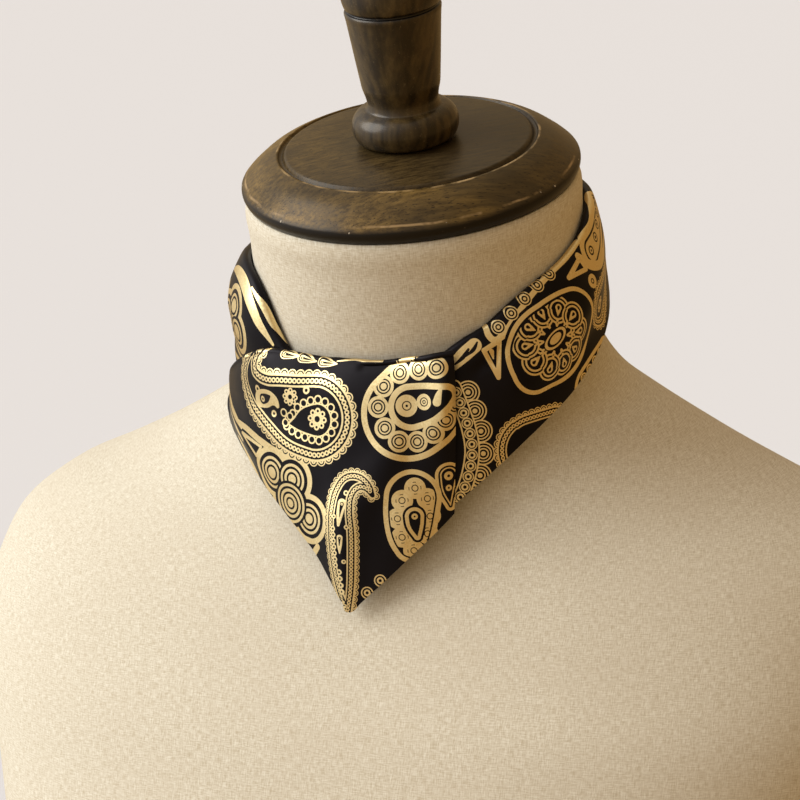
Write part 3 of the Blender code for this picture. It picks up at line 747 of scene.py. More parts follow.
def sheet_piece(name, surface, page, *looks):
    """The printed cloth as one closed thin shell: its face, a round rim and a plain back."""
    spots, faces, foil, tree, grid_faces = cut_sheet(surface, page)
    place, normal = onto_cloth(surface, tree, grid_faces, spots)
    loop = boundary_of(faces.tolist())
    count = len(spots)
    rim = len(loop)

    # The back is a coarser sheet on the same edge
    columns, rows = surface.flat.shape[:2]
    lattice = surface.flat[BACK_STEP // 2 + 1:columns - 2:BACK_STEP, 2:rows - 2:BACK_STEP].reshape(-1, 2)
    back_spots = np.concatenate([spots[loop], lattice])
    ring = np.arange(rim)
    made, back_faces, area = triangles(back_spots, closed_line(ring), 1, 1e-6)
    if len(made) != len(back_spots):
        raise RuntimeError(name + ": the back's edge doesn't match the front's")
    back_faces = np.where(area[:, None] > 0, back_faces, back_faces[:, ::-1])
    back_place, back_normal = onto_cloth(surface, tree, grid_faces, made)

    half = SHEET / 2
    heart = place[loop] + normal[loop] * (CLOTH / 2 - half)
    edge_way = unit(np.roll(heart, -1, axis=0) - np.roll(heart, 1, axis=0))
    away = unit(np.cross(edge_way, normal[loop]))
    points = [place + normal * (CLOTH / 2)]
    ways = [normal]
    flats = [spots]
    for turn in RIM_TURNS:
        way = normal[loop] * math.cos(turn * DEGREE) + away * math.sin(turn * DEGREE)
        points.append(heart + way * half)
        ways.append(way)
        flats.append(spots[loop])
    points.append(back_place + back_normal * (CLOTH / 2 - SHEET))
    ways.append(-back_normal)
    flats.append(made)
    points = np.concatenate(points)
    ways = np.concatenate(ways)
    flats = np.concatenate(flats)

    all_faces = faces.tolist()
    slots = foil.astype(int).tolist()
    rows_of_rim = [list(loop)] + [(count + k * rim + ring).tolist() for k in range(len(RIM_TURNS))]
    first_back = count + len(RIM_TURNS) * rim
    rows_of_rim.append((first_back + ring).tolist())
    # The rim keeps the colour of the face it turns from
    by_edge = {}
    for face, (p, q, r) in enumerate(faces.tolist()):
        for edge in ((p, q), (q, r), (r, p)):
            by_edge[edge] = face
    for upper, lower in zip(rows_of_rim[:-1], rows_of_rim[1:]):
        for k in range(rim):
            m = (k + 1) % rim
            all_faces.append((upper[m], upper[k], lower[k], lower[m]))
            slots.append(int(foil[by_edge[(loop[k], loop[m])]]) if lower is not rows_of_rim[-1] else 0)
    all_faces.extend((back_faces + first_back).tolist())
    slots.extend([0] * len(back_faces))

    mesh = bpy.data.meshes.new(name)
    mesh.from_pydata(points.tolist(), [], all_faces)
    for look in looks:
        mesh.materials.append(look)
    mesh.polygons.foreach_set("material_index", slots)
    mesh.polygons.foreach_set("use_smooth", [True] * len(mesh.polygons))
    corners = np.empty(len(mesh.loops), dtype=np.int64)
    mesh.loops.foreach_get("vertex_index", corners)
    layer = mesh.uv_layers.new(name="cloth")
    layer.uv.foreach_set("vector", (flats[corners] * MM).astype(np.float32).ravel())
    mesh.validate(clean_customdata=False)
    mesh.update()
    if len(mesh.vertices) == len(ways):
        mesh.normals_split_custom_set_from_vertices(ways.tolist())
    return linked(name, mesh)


# The motifs of the print, each a border and a filling on a swept form
def beaded_paisley(page, rows, pitch):
    """A paisley edged with scallops, a black line, a chain of beads and a fine inner line."""
    k = pitch / 3.5
    patch = page.shape(rows, 4.0 * k)
    scallops = page.around(patch, 0.35 * k, pitch)
    page.discs(scallops, 1.92 * k)
    for x, y in scallops:
        spot = page.spot(x, y, 2.5 * k)
        spot.moat(1.46 * k, 0.98 * k)
        spot.clear(0.36 * k)
    patch.clear(-0.42 * k)
    patch.line(0.0, 0.45 * k)
    beads = page.around(patch, -2.1 * k, pitch * 0.545)
    page.discs(beads, 1.02 * k)
    page.discs(beads, 0.42 * k, bare=True)
    patch.line(-4.1 * k, 0.38 * k)


def ring_loop(page, rows, outer, hole, pitch):
    """A drop drawn in touching rings with a fine line inside them."""
    patch = page.shape(rows, 6.0)
    rings = page.around(patch, outer * 0.86, pitch)
    page.discs(rings, outer)
    patch.line(-0.1, 0.30)
    page.discs(rings, hole, bare=True)
    patch.clear(-0.35)


def solid_paisley(page, rows, hollow, ring, ring_hole):
    """A plain paisley of foil with a black drop in it and a small ring in the drop."""
    page.shape(rows, 1.5).fill()
    page.shape(hollow, 1.0).clear()
    page.target(*hollow[0][:2], ring, ring_hole)


def medallion_paisley(page, rows, band, radius, pitch, within=None, discs=None):
    """A broad band, discs all round inside it, and an inner band round a black drop."""
    patch = page.shape(rows, 3.0)
    middle = -(band / 2 + 0.07 * radius + radius)
    if discs is None:
        discs = page.around(patch, middle, pitch)
    page.discs(discs, radius)
    scale = radius / 3.7
    for x, y in discs:
        spot = page.spot(x, y, radius + 0.5)
        spot.gap(2.35 * scale, 0.24 * scale)
        spot.moat(1.60 * scale, 1.10 * scale)
    patch.line(0.0, band / 2)
    inner = patch if within is None else page.shape(within, 3.0)
    edge = 2 * middle if within is None else 0.0
    inner.clear(edge)
    inner.line(edge, band / 2)


def petal_flower(page, x, y, reach, petals, turn, core, width):
    """Petals of nested loops round an oval; reach is how far their tips lie across and down."""
    for k in range(petals):
        angle = math.tau * k / petals + turn
        tip = np.array((x + reach[0] * math.cos(angle), y + reach[1] * math.sin(angle)))
        root = np.array((x + reach[0] * 0.30 * math.cos(angle), y + reach[1] * 0.30 * math.sin(angle)))
        way = tip - root
        head = root + way * (1.0 - width / np.linalg.norm(way))
        for shrink in (0.0, 1.45):
            radius = width - shrink
            neck = root + way * (0.40 + shrink * 0.04)
            foot = root + way * (0.02 + shrink * 0.12)
            petal = page.shape([(*head, radius), (*neck, radius * 0.46), (*foot, 0.15)], 1.2, 5)
            petal.clear(0.45)
            petal.line(0.0, 0.38)
        page.shape([(*(root + way * 0.62), 1.5), (*(root + way * 0.36), 0.2)], 0.8, 3).fill()
        page.shape([(*(root + way * 0.64), 0.65), (*(root + way * 0.56), 0.2)], 0.8, 3).clear()
    oval_x, oval_y, tilt = core
    spot = page.spot(x, y, max(oval_x, oval_y) + 1.0)
    u = (spot.x - x) * math.cos(tilt) + (spot.y - y) * math.sin(tilt)
    v = (spot.y - y) * math.cos(tilt) - (spot.x - x) * math.sin(tilt)
    spot.d = (np.sqrt((u / oval_x) ** 2 + (v / oval_y) ** 2) - 1.0) * min(oval_x, oval_y)
    spot.clear(0.55)
    spot.line(0.0, 0.32)
    spot.fill(-0.95)


def lobed_cluster(page, lobes, edge):
    """Lobes of thick nested rings, the last one over the others, inside one broad scalloped edge."""
    places = np.array(lobes)
    far = places[:, 2].max() + 4.0 + edge
    patch = Patch(page, places[:, :2].min(axis=0) - far, places[:, :2].max(axis=0) + far)
    for x, y, radius in lobes:
        np.minimum(patch.d, np.hypot(patch.x - x, patch.y - y) - radius, out=patch.d)
    patch.fill()
    for x, y, radius in lobes:
        spot = page.spot(x, y, radius + 0.6)
        spot.fill(radius)
        level = radius
        thick = 0.52
        while level > 1.6:
            spot.gap(level, thick)
            level -= 2.1
            thick = max(0.38, thick - 0.04)
    patch.foil(np.minimum(edge / 2 - np.abs(patch.d - 1.1 - edge / 2), 1.0))
    patch.gap(0.55, 0.52)


def strips(page, *tapers, steps=9):
    """Tapering strips of foil."""
    for rows in tapers:
        page.shape(rows, 1.0, steps).fill()


def wedge(page, a, b, c, width):
    """A triangle outlined in foil with a bare middle."""
    strips(page, *([(*one, width / 2), (*two, width / 2)] for one, two in ((a, b), (b, c), (c, a))), steps=1)


def bead_column(page, line, bead, arch):
    """A border of ringed beads between two fine lines, with nested half rings along one side."""
    path = curve_through([(x, y, 0.0) for x, y in line], 24)[:, :2]
    run = lengths(path)

    def along(pitch, start, off):
        at = np.arange(start, run[-1], pitch)
        spot = read_along(path, run, at)
        ahead = read_along(path, run, at + 0.1)
        way = (ahead - spot) / np.maximum(np.linalg.norm(ahead - spot, axis=1, keepdims=True), 1e-9)
        return spot + np.stack([way[:, 1], -way[:, 0]], axis=1) * off

    half = bead * 1.22
    for x, y in along(arch * 1.72, arch * 0.8, half + arch * 0.35):
        page.target(x, y, *(arch * part for part in (1.0, 0.875, 0.73, 0.615, 0.48, 0.365, 0.21)))
    column = page.shape([(x, y, half) for x, y in line], 1.5)
    column.clear()
    column.line(0.0, 0.30)
    for x, y in along(bead * 1.92, bead, 0.0):
        page.target(x, y, bead, bead - 0.42, bead - 0.80, bead * 0.30)


# The form and its turned wood, finer than their solids and on the same lines
FORM_SIDES = 168
TORSO_STEPS = 5
LATHE_SIDES = 144
LATHE_STEP = 0.0008
CRISP = 48.0
GROOVE_ROW = 15

Ring = namedtuple("Ring", "tilt power height centre_y half_width front back")
TORSO_RINGS = table(Ring, 2, [
    (0, 2.5, 0, 0, 145, 103.5, 101),
    (0, 2.5, 3.5, 0, 147.5, 106, 103.5),
    (0, 2.5, 40, 0, 152, 108.5, 105),
    (0, 2.5, 75, 0, 158, 110, 106.5),
    (0, 2.5, 110, 2, 166, 110.5, 106.5),
    (0, 2.5, 150, 6, 176, 108, 103.5),
    (0, 2.45, 180, 12, 184, 107, 98),
    (0, 2.4, 210, 20, 193, 106.5, 89.5),
    (0, 2.3, 231, 30, 199, 107.5, 77.5),
    (1.2, 2.2, 250, 38, 199, 108.9, 66.5),
    (3, 2.1, 268, 42, 192, 106.9, 58.6),
    (5, 2.05, 282, 42, 175, 102.4, 54.7),
    (7, 2, 296, 38, 145, 94.7, 53.9),
    (8.4, 2, 306.4, 33.5, 123, 87.5, 54.5),
    (9.7, 2, 314.8, 28, 107, 81.2, 56.5),
    (11.3, 2, 322.4, 21.5, 93, 74.8, 59),
    (13.2, 2, 330, 14.5, 79, 68.6, 63.5),
])
Neck = namedtuple("Neck", "down half_width front back")
NECK_RINGS = table(Neck, 0, [
    (82, 69, 65.5, 66.5), (72, 66.2, 65, 65.5), (60, 65.4, 64.9, 65.1),
    (42, 65, 64.8, 64.9), (22, 64.8, 64.8, 64.8), (10.2, 64.8, 64.8, 64.8),
    (8.2, 64, 64, 64),
])


def oval(middle, tilt, power, row):
    """One ring: a rounded oval that reaches further to the front or back, tipped forward by tilt."""
    forward = Vector((0.0, -math.cos(tilt), -math.sin(tilt)))
    ring = []
    for step in range(FORM_SIDES):
        turn = math.tau * step / FORM_SIDES
        across = math.sin(turn)
        along = math.cos(turn)
        reach = row.front if along > 0 else row.back
        x = row.half_width * math.copysign(abs(across) ** (2 / power), across)
        y = reach * math.copysign(abs(along) ** (2 / power), along)
        ring.append(middle + NECK_SIDE * x + forward * y)
    return ring


def form_grid():
    """The form's rings as one grid, from its base up, refined between the table's rows."""
    rings = []
    for row in TORSO_RINGS:
        middle = Vector((0.0, row.centre_y, row.height))
        rings.append(oval(middle, row.tilt * DEGREE, row.power, row))
    for row in NECK_RINGS:
        middle = CAP_CENTRE - NECK_AXIS * row.down
        rings.append(oval(middle, NECK_TILT, 2.0, row))
    points = np.array([[tuple(p) for p in ring] for ring in rings])
    return refined(points, [1] + [TORSO_STEPS] * (len(rings) - 3) + [1])


def ring_mesh(name, grid, look):
    """A closed solid through rings of points, with flat ends and a UV map in metres."""
    rows, sides = grid.shape[:2]
    faces = []
    for row in range(rows - 1):
        for step in range(sides):
            after = (step + 1) % sides
            low, high = row * sides, (row + 1) * sides
            faces.append((low + step, high + step, high + after, low + after))
    faces.append(tuple(range(sides)))
    faces.append(tuple(reversed(range((rows - 1) * sides, rows * sides))))
    mesh = bpy.data.meshes.new(name)
    mesh.from_pydata(grid.reshape(-1, 3).tolist(), [], faces)
    mesh.materials.append(look)
    layer = mesh.uv_layers.new(name="cloth")
    uv, way_round = wound_uv(grid)
    values = []
    for face in mesh.polygons:
        spots = [(uv[v // sides, v % sides], way_round[v // sides]) for v in face.vertices]
        across = [spot[0] for spot, _ in spots]
        wraps = len(spots) == 4 and max(across) - min(across) > 0.5 * min(length for _, length in spots)
        for spot, length in spots:
            values.extend((spot[0] + length if wraps and spot[0] < 0 else spot[0], spot[1]))
    layer.uv.foreach_set("vector", values)
    mesh.polygons.foreach_set("use_smooth", [len(face.vertices) == 4 for face in mesh.polygons])
    mesh.update()
    return linked(name, mesh)


def wound_uv(grid):
    """Flat places in metres, both ways round from the front and up the side, and each ring's length."""
    rows, sides = grid.shape[:2]
    ring_way = np.linalg.norm(np.roll(grid, -1, axis=1) - grid, axis=2)
    length = ring_way.sum(axis=1)
    across = np.concatenate([np.zeros((rows, 1)), np.cumsum(ring_way, axis=1)[:, :-1]], axis=1)
    across = np.where(np.arange(sides) > sides // 2, across - length[:, None], across)
    up = np.concatenate([[0.0], np.cumsum(np.linalg.norm(np.diff(grid, axis=0), axis=2).mean(axis=1))])
    return np.stack([across, np.repeat(up[:, None], sides, axis=1)], axis=2), length


Turned = namedtuple("Turned", "radius height")
CAP_PROFILE = table(Turned, 0, [
    (64, -7.8), (65, -6.4), (65.6, -4.5), (65.5, -2.9), (64.2, -1.3), (61.2, 1.4),
    (56.2, 5.2), (50.5, 7.8), (49.9, 6.6), (48.7, 6.4), (48.1, 7.4), (47.5, 8.2),
    (40, 8.7), (30, 9), (15, 9.2),
])
FINIAL_PROFILE = table(Turned, 0, [
    (16.3, 9.5), (18.8, 10.6), (20.3, 13.4), (20.6, 16.3), (19.9, 19.3), (18.1, 21.5),
    (15.8, 22.7), (14.5, 23), (14.2, 23.6), (15.2, 32.5), (16.3, 42), (17.4, 52),
    (18.4, 60.6), (18.6, 62), (18.3, 62.7), (17.5, 63), (17.5, 63.8), (18.4, 64.2),
    (19.1, 66.8), (19.3, 70.5), (18.6, 74.3), (16.6, 76.5), (15.2, 77.5), (15.8, 79.5),
    (18, 83), (19.4, 88), (19.3, 93.5), (17.6, 98.5), (14.3, 102.2), (9.5, 104.4),
    (4.5, 105.3),
])


def lathe_grid(profile):
    """Rings of a turned piece, refined on smooth curves between its crisp corners."""
    rows = np.array(profile)
    way = np.diff(rows, axis=0)
    heading = np.arctan2(way[:, 1], way[:, 0])
    bend = np.abs((np.diff(heading) + math.pi) % math.tau - math.pi)
    corners = [0] + (np.nonzero(bend > CRISP * DEGREE)[0] + 1).tolist() + [len(rows) - 1]
    fine = []
    for first, last in zip(corners, corners[1:]):
        stretch = rows[first:last + 1]
        gaps = np.linalg.norm(np.diff(stretch, axis=0), axis=1)
        parts = np.maximum(1, np.ceil(gaps / LATHE_STEP)).astype(int)
        if len(stretch) > 2:
            points = np.concatenate([stretch, np.zeros((len(stretch), 1))], axis=1)[:, None]
            fine.extend(refined(points, parts)[:-1, 0, :2])
        else:
            share = np.arange(parts[0])[:, None] / parts[0]
            fine.extend(stretch[0] + (stretch[1] - stretch[0]) * share)
    fine.append(rows[-1])
    turn = np.arange(LATHE_SIDES) / LATHE_SIDES * 360.0
    return np.array([[tuple(on_neck(a, -h, r)) for a in turn] for r, h in fine])


# Materials
class Look:
    """A material with one shader, and short ways to wire nodes into it."""

    def __init__(self, name):
        self.material = bpy.data.materials.new(name)
        self.material.use_nodes = True
        self.tree = self.material.node_tree
        self.shader = self.tree.nodes["Principled BSDF"]

    def done(self, base, roughness, normal, **constants):
        """The material, with what drives its shader wired in and the rest set."""
        for name, source in (("Base Color", base), ("Roughness", roughness), ("Normal", normal)):
            self.wire(source, self.shader.inputs[name])
        for name, value in constants.items():
            self.shader.inputs[name.replace("_", " ")].default_value = value
        return self.material

    def wire(self, source, target):
        if hasattr(source, "is_output"):
            self.tree.links.new(source, target)
        else:
            target.default_value = source

    def node(self, kind, **inputs):
        made = self.tree.nodes.new(kind)
        for name, source in inputs.items():
            self.wire(source, made.inputs[name.replace("_", " ")])
        return made

    def math(self, operation, *sources):
        made = self.tree.nodes.new("ShaderNodeMath")
        made.operation = operation
        for socket, source in zip(made.inputs, sources):
            self.wire(source, socket)
        return made.outputs[0]

    def plus(self, a, b):
        return self.math("ADD", a, b)

    def minus(self, a, b):
        return self.math("SUBTRACT", a, b)

    def times(self, a, b):
        return self.math("MULTIPLY", a, b)

    def off(self, a, b):
        """How far a is from b."""
        return self.math("ABSOLUTE", self.minus(a, b))

    def ridge(self, a, b, slope):
        """One where a is at b, less on both sides."""
        return self.minus(1.0, self.math("ABSOLUTE", self.times(self.minus(a, b), slope)))

    def noise(self, where, scale, detail=2.0, roughness=0.5, distortion=0.0):
        made = self.node("ShaderNodeTexNoise", Vector=where, Scale=scale, Detail=detail, Roughness=roughness,
                         Distortion=distortion)
        return made.outputs["Fac"]

    def stretched(self, where, scale, turn=(0.0, 0.0, 0.0)):
        made = self.node("ShaderNodeMapping", Vector=where, Rotation=turn, Scale=scale)
        return made.outputs["Vector"]

    def grey(self, source, low, high, to_low=0.0, to_high=1.0):
        made = self.node("ShaderNodeMapRange", Value=source, From_Min=low, From_Max=high, To_Min=to_low,
                         To_Max=to_high)
        return made.outputs["Result"]

    def mix(self, share, one, two):
        made = self.tree.nodes.new("ShaderNodeMix")
        made.data_type = "RGBA"
        self.wire(share, made.inputs["Factor"])
        for name, colour in (("A", one), ("B", two)):
            socket = next(s for s in made.inputs if s.name == name and s.type == "RGBA")
            self.wire((*colour, 1.0) if isinstance(colour, tuple) else colour, socket)
        return next(s for s in made.outputs if s.type == "RGBA")

    def bump(self, height, distance, strength):
        made = self.node("ShaderNodeBump", Height=height, Distance=distance, Strength=strength)
        return made.outputs["Normal"]

    def place(self):
        return self.tree.nodes.new("ShaderNodeTexCoord").outputs["Object"]

    def cloth(self):
        made = self.tree.nodes.new("ShaderNodeUVMap")
        made.uv_map = "cloth"
        return made.outputs["UV"]


def satin_look():
    look = Look("black_satin")
    cloth = look.cloth()
    place = look.place()
    fine = look.noise(look.stretched(cloth, (900.0, 5200.0, 1.0)), 1.0, 2.0)
    cloud = look.noise(place, 55.0, 3.0)
    base = look.mix(look.grey(cloud, 0.35, 0.7), (0.0034, 0.0029, 0.0036), (0.0060, 0.0052, 0.0064))
    return look.done(base, look.grey(cloud, 0.3, 0.7, 0.34, 0.44), look.bump(fine, 0.00002, 0.5),
                     Specular_IOR_Level=0.13, Specular_Tint=(0.93, 0.88, 1.0, 1.0), Sheen_Weight=0.02,
                     Sheen_Roughness=0.3, Sheen_Tint=(0.80, 0.74, 0.86, 1.0))


def foil_look():
    look = Look("gold_foil")
    cloth = look.cloth()
    place = look.place()
    grain = look.noise(place, 1500.0, 3.0, 0.6)
    cloud = look.noise(place, 140.0, 3.0)
    weave = look.noise(look.stretched(cloth, (1500.0, 3600.0, 1.0)), 1.0, 2.0)
    light = look.mix(look.grey(grain, 0.3, 0.7), (0.74, 0.56, 0.25), (0.94, 0.80, 0.47))
    base = look.mix(look.grey(cloud, 0.35, 0.7), light, (0.86, 0.69, 0.37))
    height = look.plus(look.times(weave, 0.6), look.times(grain, 0.4))
    return look.done(base, look.grey(grain, 0.3, 0.7, 0.30, 0.44), look.bump(height, 0.00003, 0.6),
                     Metallic=0.95)


def linen_look():
    look = Look("natural_linen")
    cloth = look.cloth()
    u_slub = look.noise(look.stretched(cloth, (2500.0, 300.0, 1.0)), 1.0, 3.0, 0.6)
    v_slub = look.noise(look.stretched(cloth, (300.0, 2500.0, 1.0)), 1.0, 3.0, 0.6)
    cloud = look.noise(cloth, 22.0, 3.0)
    threads = look.plus(look.times(u_slub, 0.5), look.times(v_slub, 0.5))
    base = look.mix(look.grey(threads, 0.38, 0.62), (0.52, 0.455, 0.335), (0.80, 0.770, 0.670))
    base = look.mix(look.grey(cloud, 0.35, 0.75, 0.0, 0.3), base, (0.60, 0.53, 0.42))
    return look.done(base, 0.92, look.bump(threads, 0.00020, 0.8), Specular_IOR_Level=0.2, Sheen_Weight=0.08,
                     Sheen_Roughness=0.5)


def cap_look():
    """Stained wood: a dark band below the rim that is painted shade, golden brown above it with painted light
    (lighter on the front-left, darker towards the back-right), a worn lip, a painted highlight along the
    rim's top edge and a browner disc.
    """
    look = Look("stained_wood")
    place = look.place()
    split = look.node("ShaderNodeSeparateXYZ", Vector=look.cloth())
    up = split.outputs["Y"]
    waver = look.times(look.minus(look.noise(place, 60.0, 3.0), 0.5), 0.0022)
    up_edge = look.plus(up, waver)
    turned = look.stretched(place, (1.0, 1.0, 1.0), (0.0, 0.0, -38.0 * DEGREE))
    grain = look.noise(look.stretched(turned, (55.0, 620.0, 620.0)), 1.0, 4.0, 0.6, 0.2)
    pores = look.noise(look.stretched(turned, (330.0, 2100.0, 2100.0)), 1.0, 2.0)
    cloud = look.noise(place, 38.0, 3.0)
    spot = look.node("ShaderNodeSeparateXYZ", Vector=place)
    # painted light: the ring and the disc are lighter and more golden on the front-left, towards the key
    # light, and darker towards the back-right
    painted_light_side = look.plus(look.times(spot.outputs["X"], 0.75), look.times(spot.outputs["Y"], 0.66))
    gold = look.mix(look.grey(grain, 0.34, 0.66), (0.072, 0.042, 0.010), (0.225, 0.140, 0.038))
    gold = look.mix(look.grey(cloud, 0.42, 0.68, 0.0, 0.75), gold, (0.040, 0.027, 0.011))
    disc = look.mix(look.grey(grain, 0.34, 0.66), (0.022, 0.015, 0.007), (0.058, 0.039, 0.016))
    disc = look.mix(look.grey(painted_light_side, -0.045, -0.005, 0.38, 0.0), disc, gold)
    gold = look.mix(look.grey(painted_light_side, -0.035, 0.025, 0.0, 0.72), gold, (0.036, 0.025, 0.012))
    base = look.mix(look.grey(up_edge, 0.0235, 0.0265), gold, disc)
    base = look.mix(look.grey(pores, 0.60, 0.68, 0.0, 0.85), base, (0.012, 0.008, 0.004))
    # painted shade: the rim's lower side, below its top edge, is darkened to near black
    base = look.mix(look.grey(up_edge, 0.0072, 0.0050), base, (0.010, 0.0075, 0.0050))
    lip = look.ridge(up_edge, 0.0238, 1400.0)
    worn = look.times(look.grey(lip, 0.0, 0.6), look.grey(look.noise(place, 120.0, 3.0), 0.42, 0.60))
    base = look.mix(look.times(worn, 0.8), base, (0.42, 0.29, 0.14))
    # painted highlight: a pale line, broken by noise, along the rim's top edge
    rim = look.ridge(up_edge, 0.0078, 1500.0)
    painted_rim_highlight = look.grey(look.noise(place, 48.0, 4.0, 0.65), 0.50, 0.62)
    painted_rim_highlight = look.times(look.grey(rim, 0.0, 0.7), painted_rim_highlight)
    base = look.mix(look.times(painted_rim_highlight, 0.75), base, (0.40, 0.27, 0.13))
    nick = look.times(look.grey(look.noise(place, 420.0, 1.0), 0.735, 0.76),
                      look.grey(look.off(up, 0.0056), 0.0022, 0.0010))
    base = look.mix(nick, base, (0.40, 0.34, 0.26))
    relief = look.bump(look.plus(grain, look.times(pores, -0.4)), 0.00010, 0.35)
    return look.done(base, look.grey(grain, 0.3, 0.7, 0.30, 0.40), relief, Specular_IOR_Level=0.20,
                     Coat_Weight=0.05, Coat_Roughness=0.20)


def finial_look():
    look = Look("turned_wood")
    place = look.place()
    mottle = look.noise(look.stretched(place, (420.0, 420.0, 260.0)), 1.0, 3.0, 0.6)
    stripes = look.noise(look.stretched(place, (260.0, 260.0, 14.0)), 1.0, 3.0)
    specks = look.noise(place, 900.0, 2.0)
    base = look.mix(look.grey(stripes, 0.36, 0.64), (0.020, 0.013, 0.005), (0.074, 0.049, 0.018))
    base = look.mix(look.grey(mottle, 0.48, 0.72, 0.0, 0.6), base, (0.030, 0.016, 0.006))
    groove = float(lengths(np.array(FINIAL_PROFILE))[GROOVE_ROW]) + 0.0004
    up = look.node("ShaderNodeSeparateXYZ", Vector=look.cloth()).outputs["Y"]
    # painted shade: a near-black line in the groove
    base = look.mix(look.grey(look.off(up, groove), 0.0013, 0.0008), base,
                    (0.006, 0.004, 0.003))
    base = look.mix(look.grey(specks, 0.64, 0.74, 0.0, 0.5), base, (0.115, 0.085, 0.045))
    return look.done(base, look.grey(mottle, 0.3, 0.7, 0.26, 0.36), look.bump(mottle, 0.00008, 0.3),
                     Specular_IOR_Level=0.30, Coat_Weight=0.16, Coat_Roughness=0.16)


# The floor, the light and the camera
CAMERA_AT = Vector((0.4823, -1.2188, 0.5496))
CAMERA_AZIMUTH = 22.0 * DEGREE
CAMERA_ELEVATION = 9.76 * DEGREE
FOCAL_PIXELS = 3380.0
IMAGE_SIZE = 800
SENSOR = 36.0
CLIP = (0.05, 200.0)
PALE = (0.799, 0.752, 0.708, 1.0)
FLOOR = (0.715, 0.745, 0.815, 1.0)
FLOOR_REACH = 40.0
FLOOR_GLOW = 0.10
LIGHT_FROM = Vector((-0.80, -0.42, 0.48)).normalized()
KEY_STRENGTH = 2.6
KEY_ANGLE = 50.0
KEY_COLOUR = (1.0, 0.965, 0.90)
WORLD_TONES = ((0.20, (0.40, 0.235, 0.085, 1.0)), (0.60, (0.51, 0.365, 0.200, 1.0)),
               (1.0, (0.95, 0.98, 1.02, 1.0)))


def add_camera():
    data = bpy.data.cameras.new("camera")
    data.sensor_width = SENSOR
    data.sensor_fit = "HORIZONTAL"
    data.lens = FOCAL_PIXELS / IMAGE_SIZE * SENSOR
    data.clip_start, data.clip_end = CLIP
    thing = linked("camera", data)
    back = Vector((math.sin(CAMERA_AZIMUTH) * math.cos(CAMERA_ELEVATION),
                   -math.cos(CAMERA_AZIMUTH) * math.cos(CAMERA_ELEVATION), math.sin(CAMERA_ELEVATION)))
    right = Vector((math.cos(CAMERA_AZIMUTH), math.sin(CAMERA_AZIMUTH), 0.0))
    up = back.cross(right)
    turn = Matrix((right, up, back)).transposed().to_4x4()
    thing.matrix_world = Matrix.Translation(CAMERA_AT) @ turn
    bpy.context.scene.camera = thing


def add_sun(name, way, strength, angle, colour):
    data = bpy.data.lights.new(name, "SUN")
    data.energy = strength
    data.angle = angle * DEGREE
    data.color = colour
    thing = linked(name, data)
    thing.location = Vector(way) * 3.0
    thing.rotation_euler = (-thing.location).to_track_quat("-Z", "Y").to_euler()


def add_floor():
    size = FLOOR_REACH
    mesh = bpy.data.meshes.new("floor")
    mesh.from_pydata([(-size, -size, 0.0), (size, -size, 0.0), (size, size, 0.0), (-size, size, 0.0)], [],
                     [(0, 1, 2, 3)])
    look = Look("floor")
    mesh.materials.append(look.material)
    for name, value in (("Base Color", FLOOR), ("Roughness", 0.9), ("Specular IOR Level", 0.1),
                        ("Emission Color", PALE), ("Emission Strength", FLOOR_GLOW)):
        look.shader.inputs[name].default_value = value
    thing = linked("floor", mesh)
    thing.visible_diffuse = False
    thing.visible_glossy = False


def add_world():
    """Soft light, white on the key's side and warm on the other, in a room that looks pale all round."""
    world = bpy.data.worlds.new("studio")
    bpy.context.scene.world = world
    world.use_nodes = True
    nodes, links = world.node_tree.nodes, world.node_tree.links
    background = nodes["Background"]
    way = nodes.new("ShaderNodeTexCoord")
    along = nodes.new("ShaderNodeVectorMath")
    along.operation = "DOT_PRODUCT"
    along.inputs[1].default_value = LIGHT_FROM
    share = nodes.new("ShaderNodeMapRange")
    share.inputs["From Min"].default_value = -1.0
    share.inputs["From Max"].default_value = 1.0
    tone = nodes.new("ShaderNodeValToRGB")
    marks = tone.color_ramp.elements
    marks.new(0.5)
    for mark, (at, colour) in zip(marks, WORLD_TONES):
        mark.position = at
        mark.color = colour
    links.new(way.outputs["Generated"], along.inputs[0])
    links.new(along.outputs["Value"], share.inputs["Value"])
    links.new(share.outputs["Result"], tone.inputs["Fac"])
    links.new(tone.outputs["Color"], background.inputs["Color"])
    wall = nodes.new("ShaderNodeBackground")
    wall.inputs["Color"].default_value = PALE
    seen = nodes.new("ShaderNodeMixShader")
    links.new(nodes.new("ShaderNodeLightPath").outputs["Is Camera Ray"], seen.inputs["Fac"])
    links.new(background.outputs["Background"], seen.inputs[1])
    links.new(wall.outputs["Background"], seen.inputs[2])
    links.new(seen.outputs["Shader"], nodes["World Output"].inputs["Surface"])


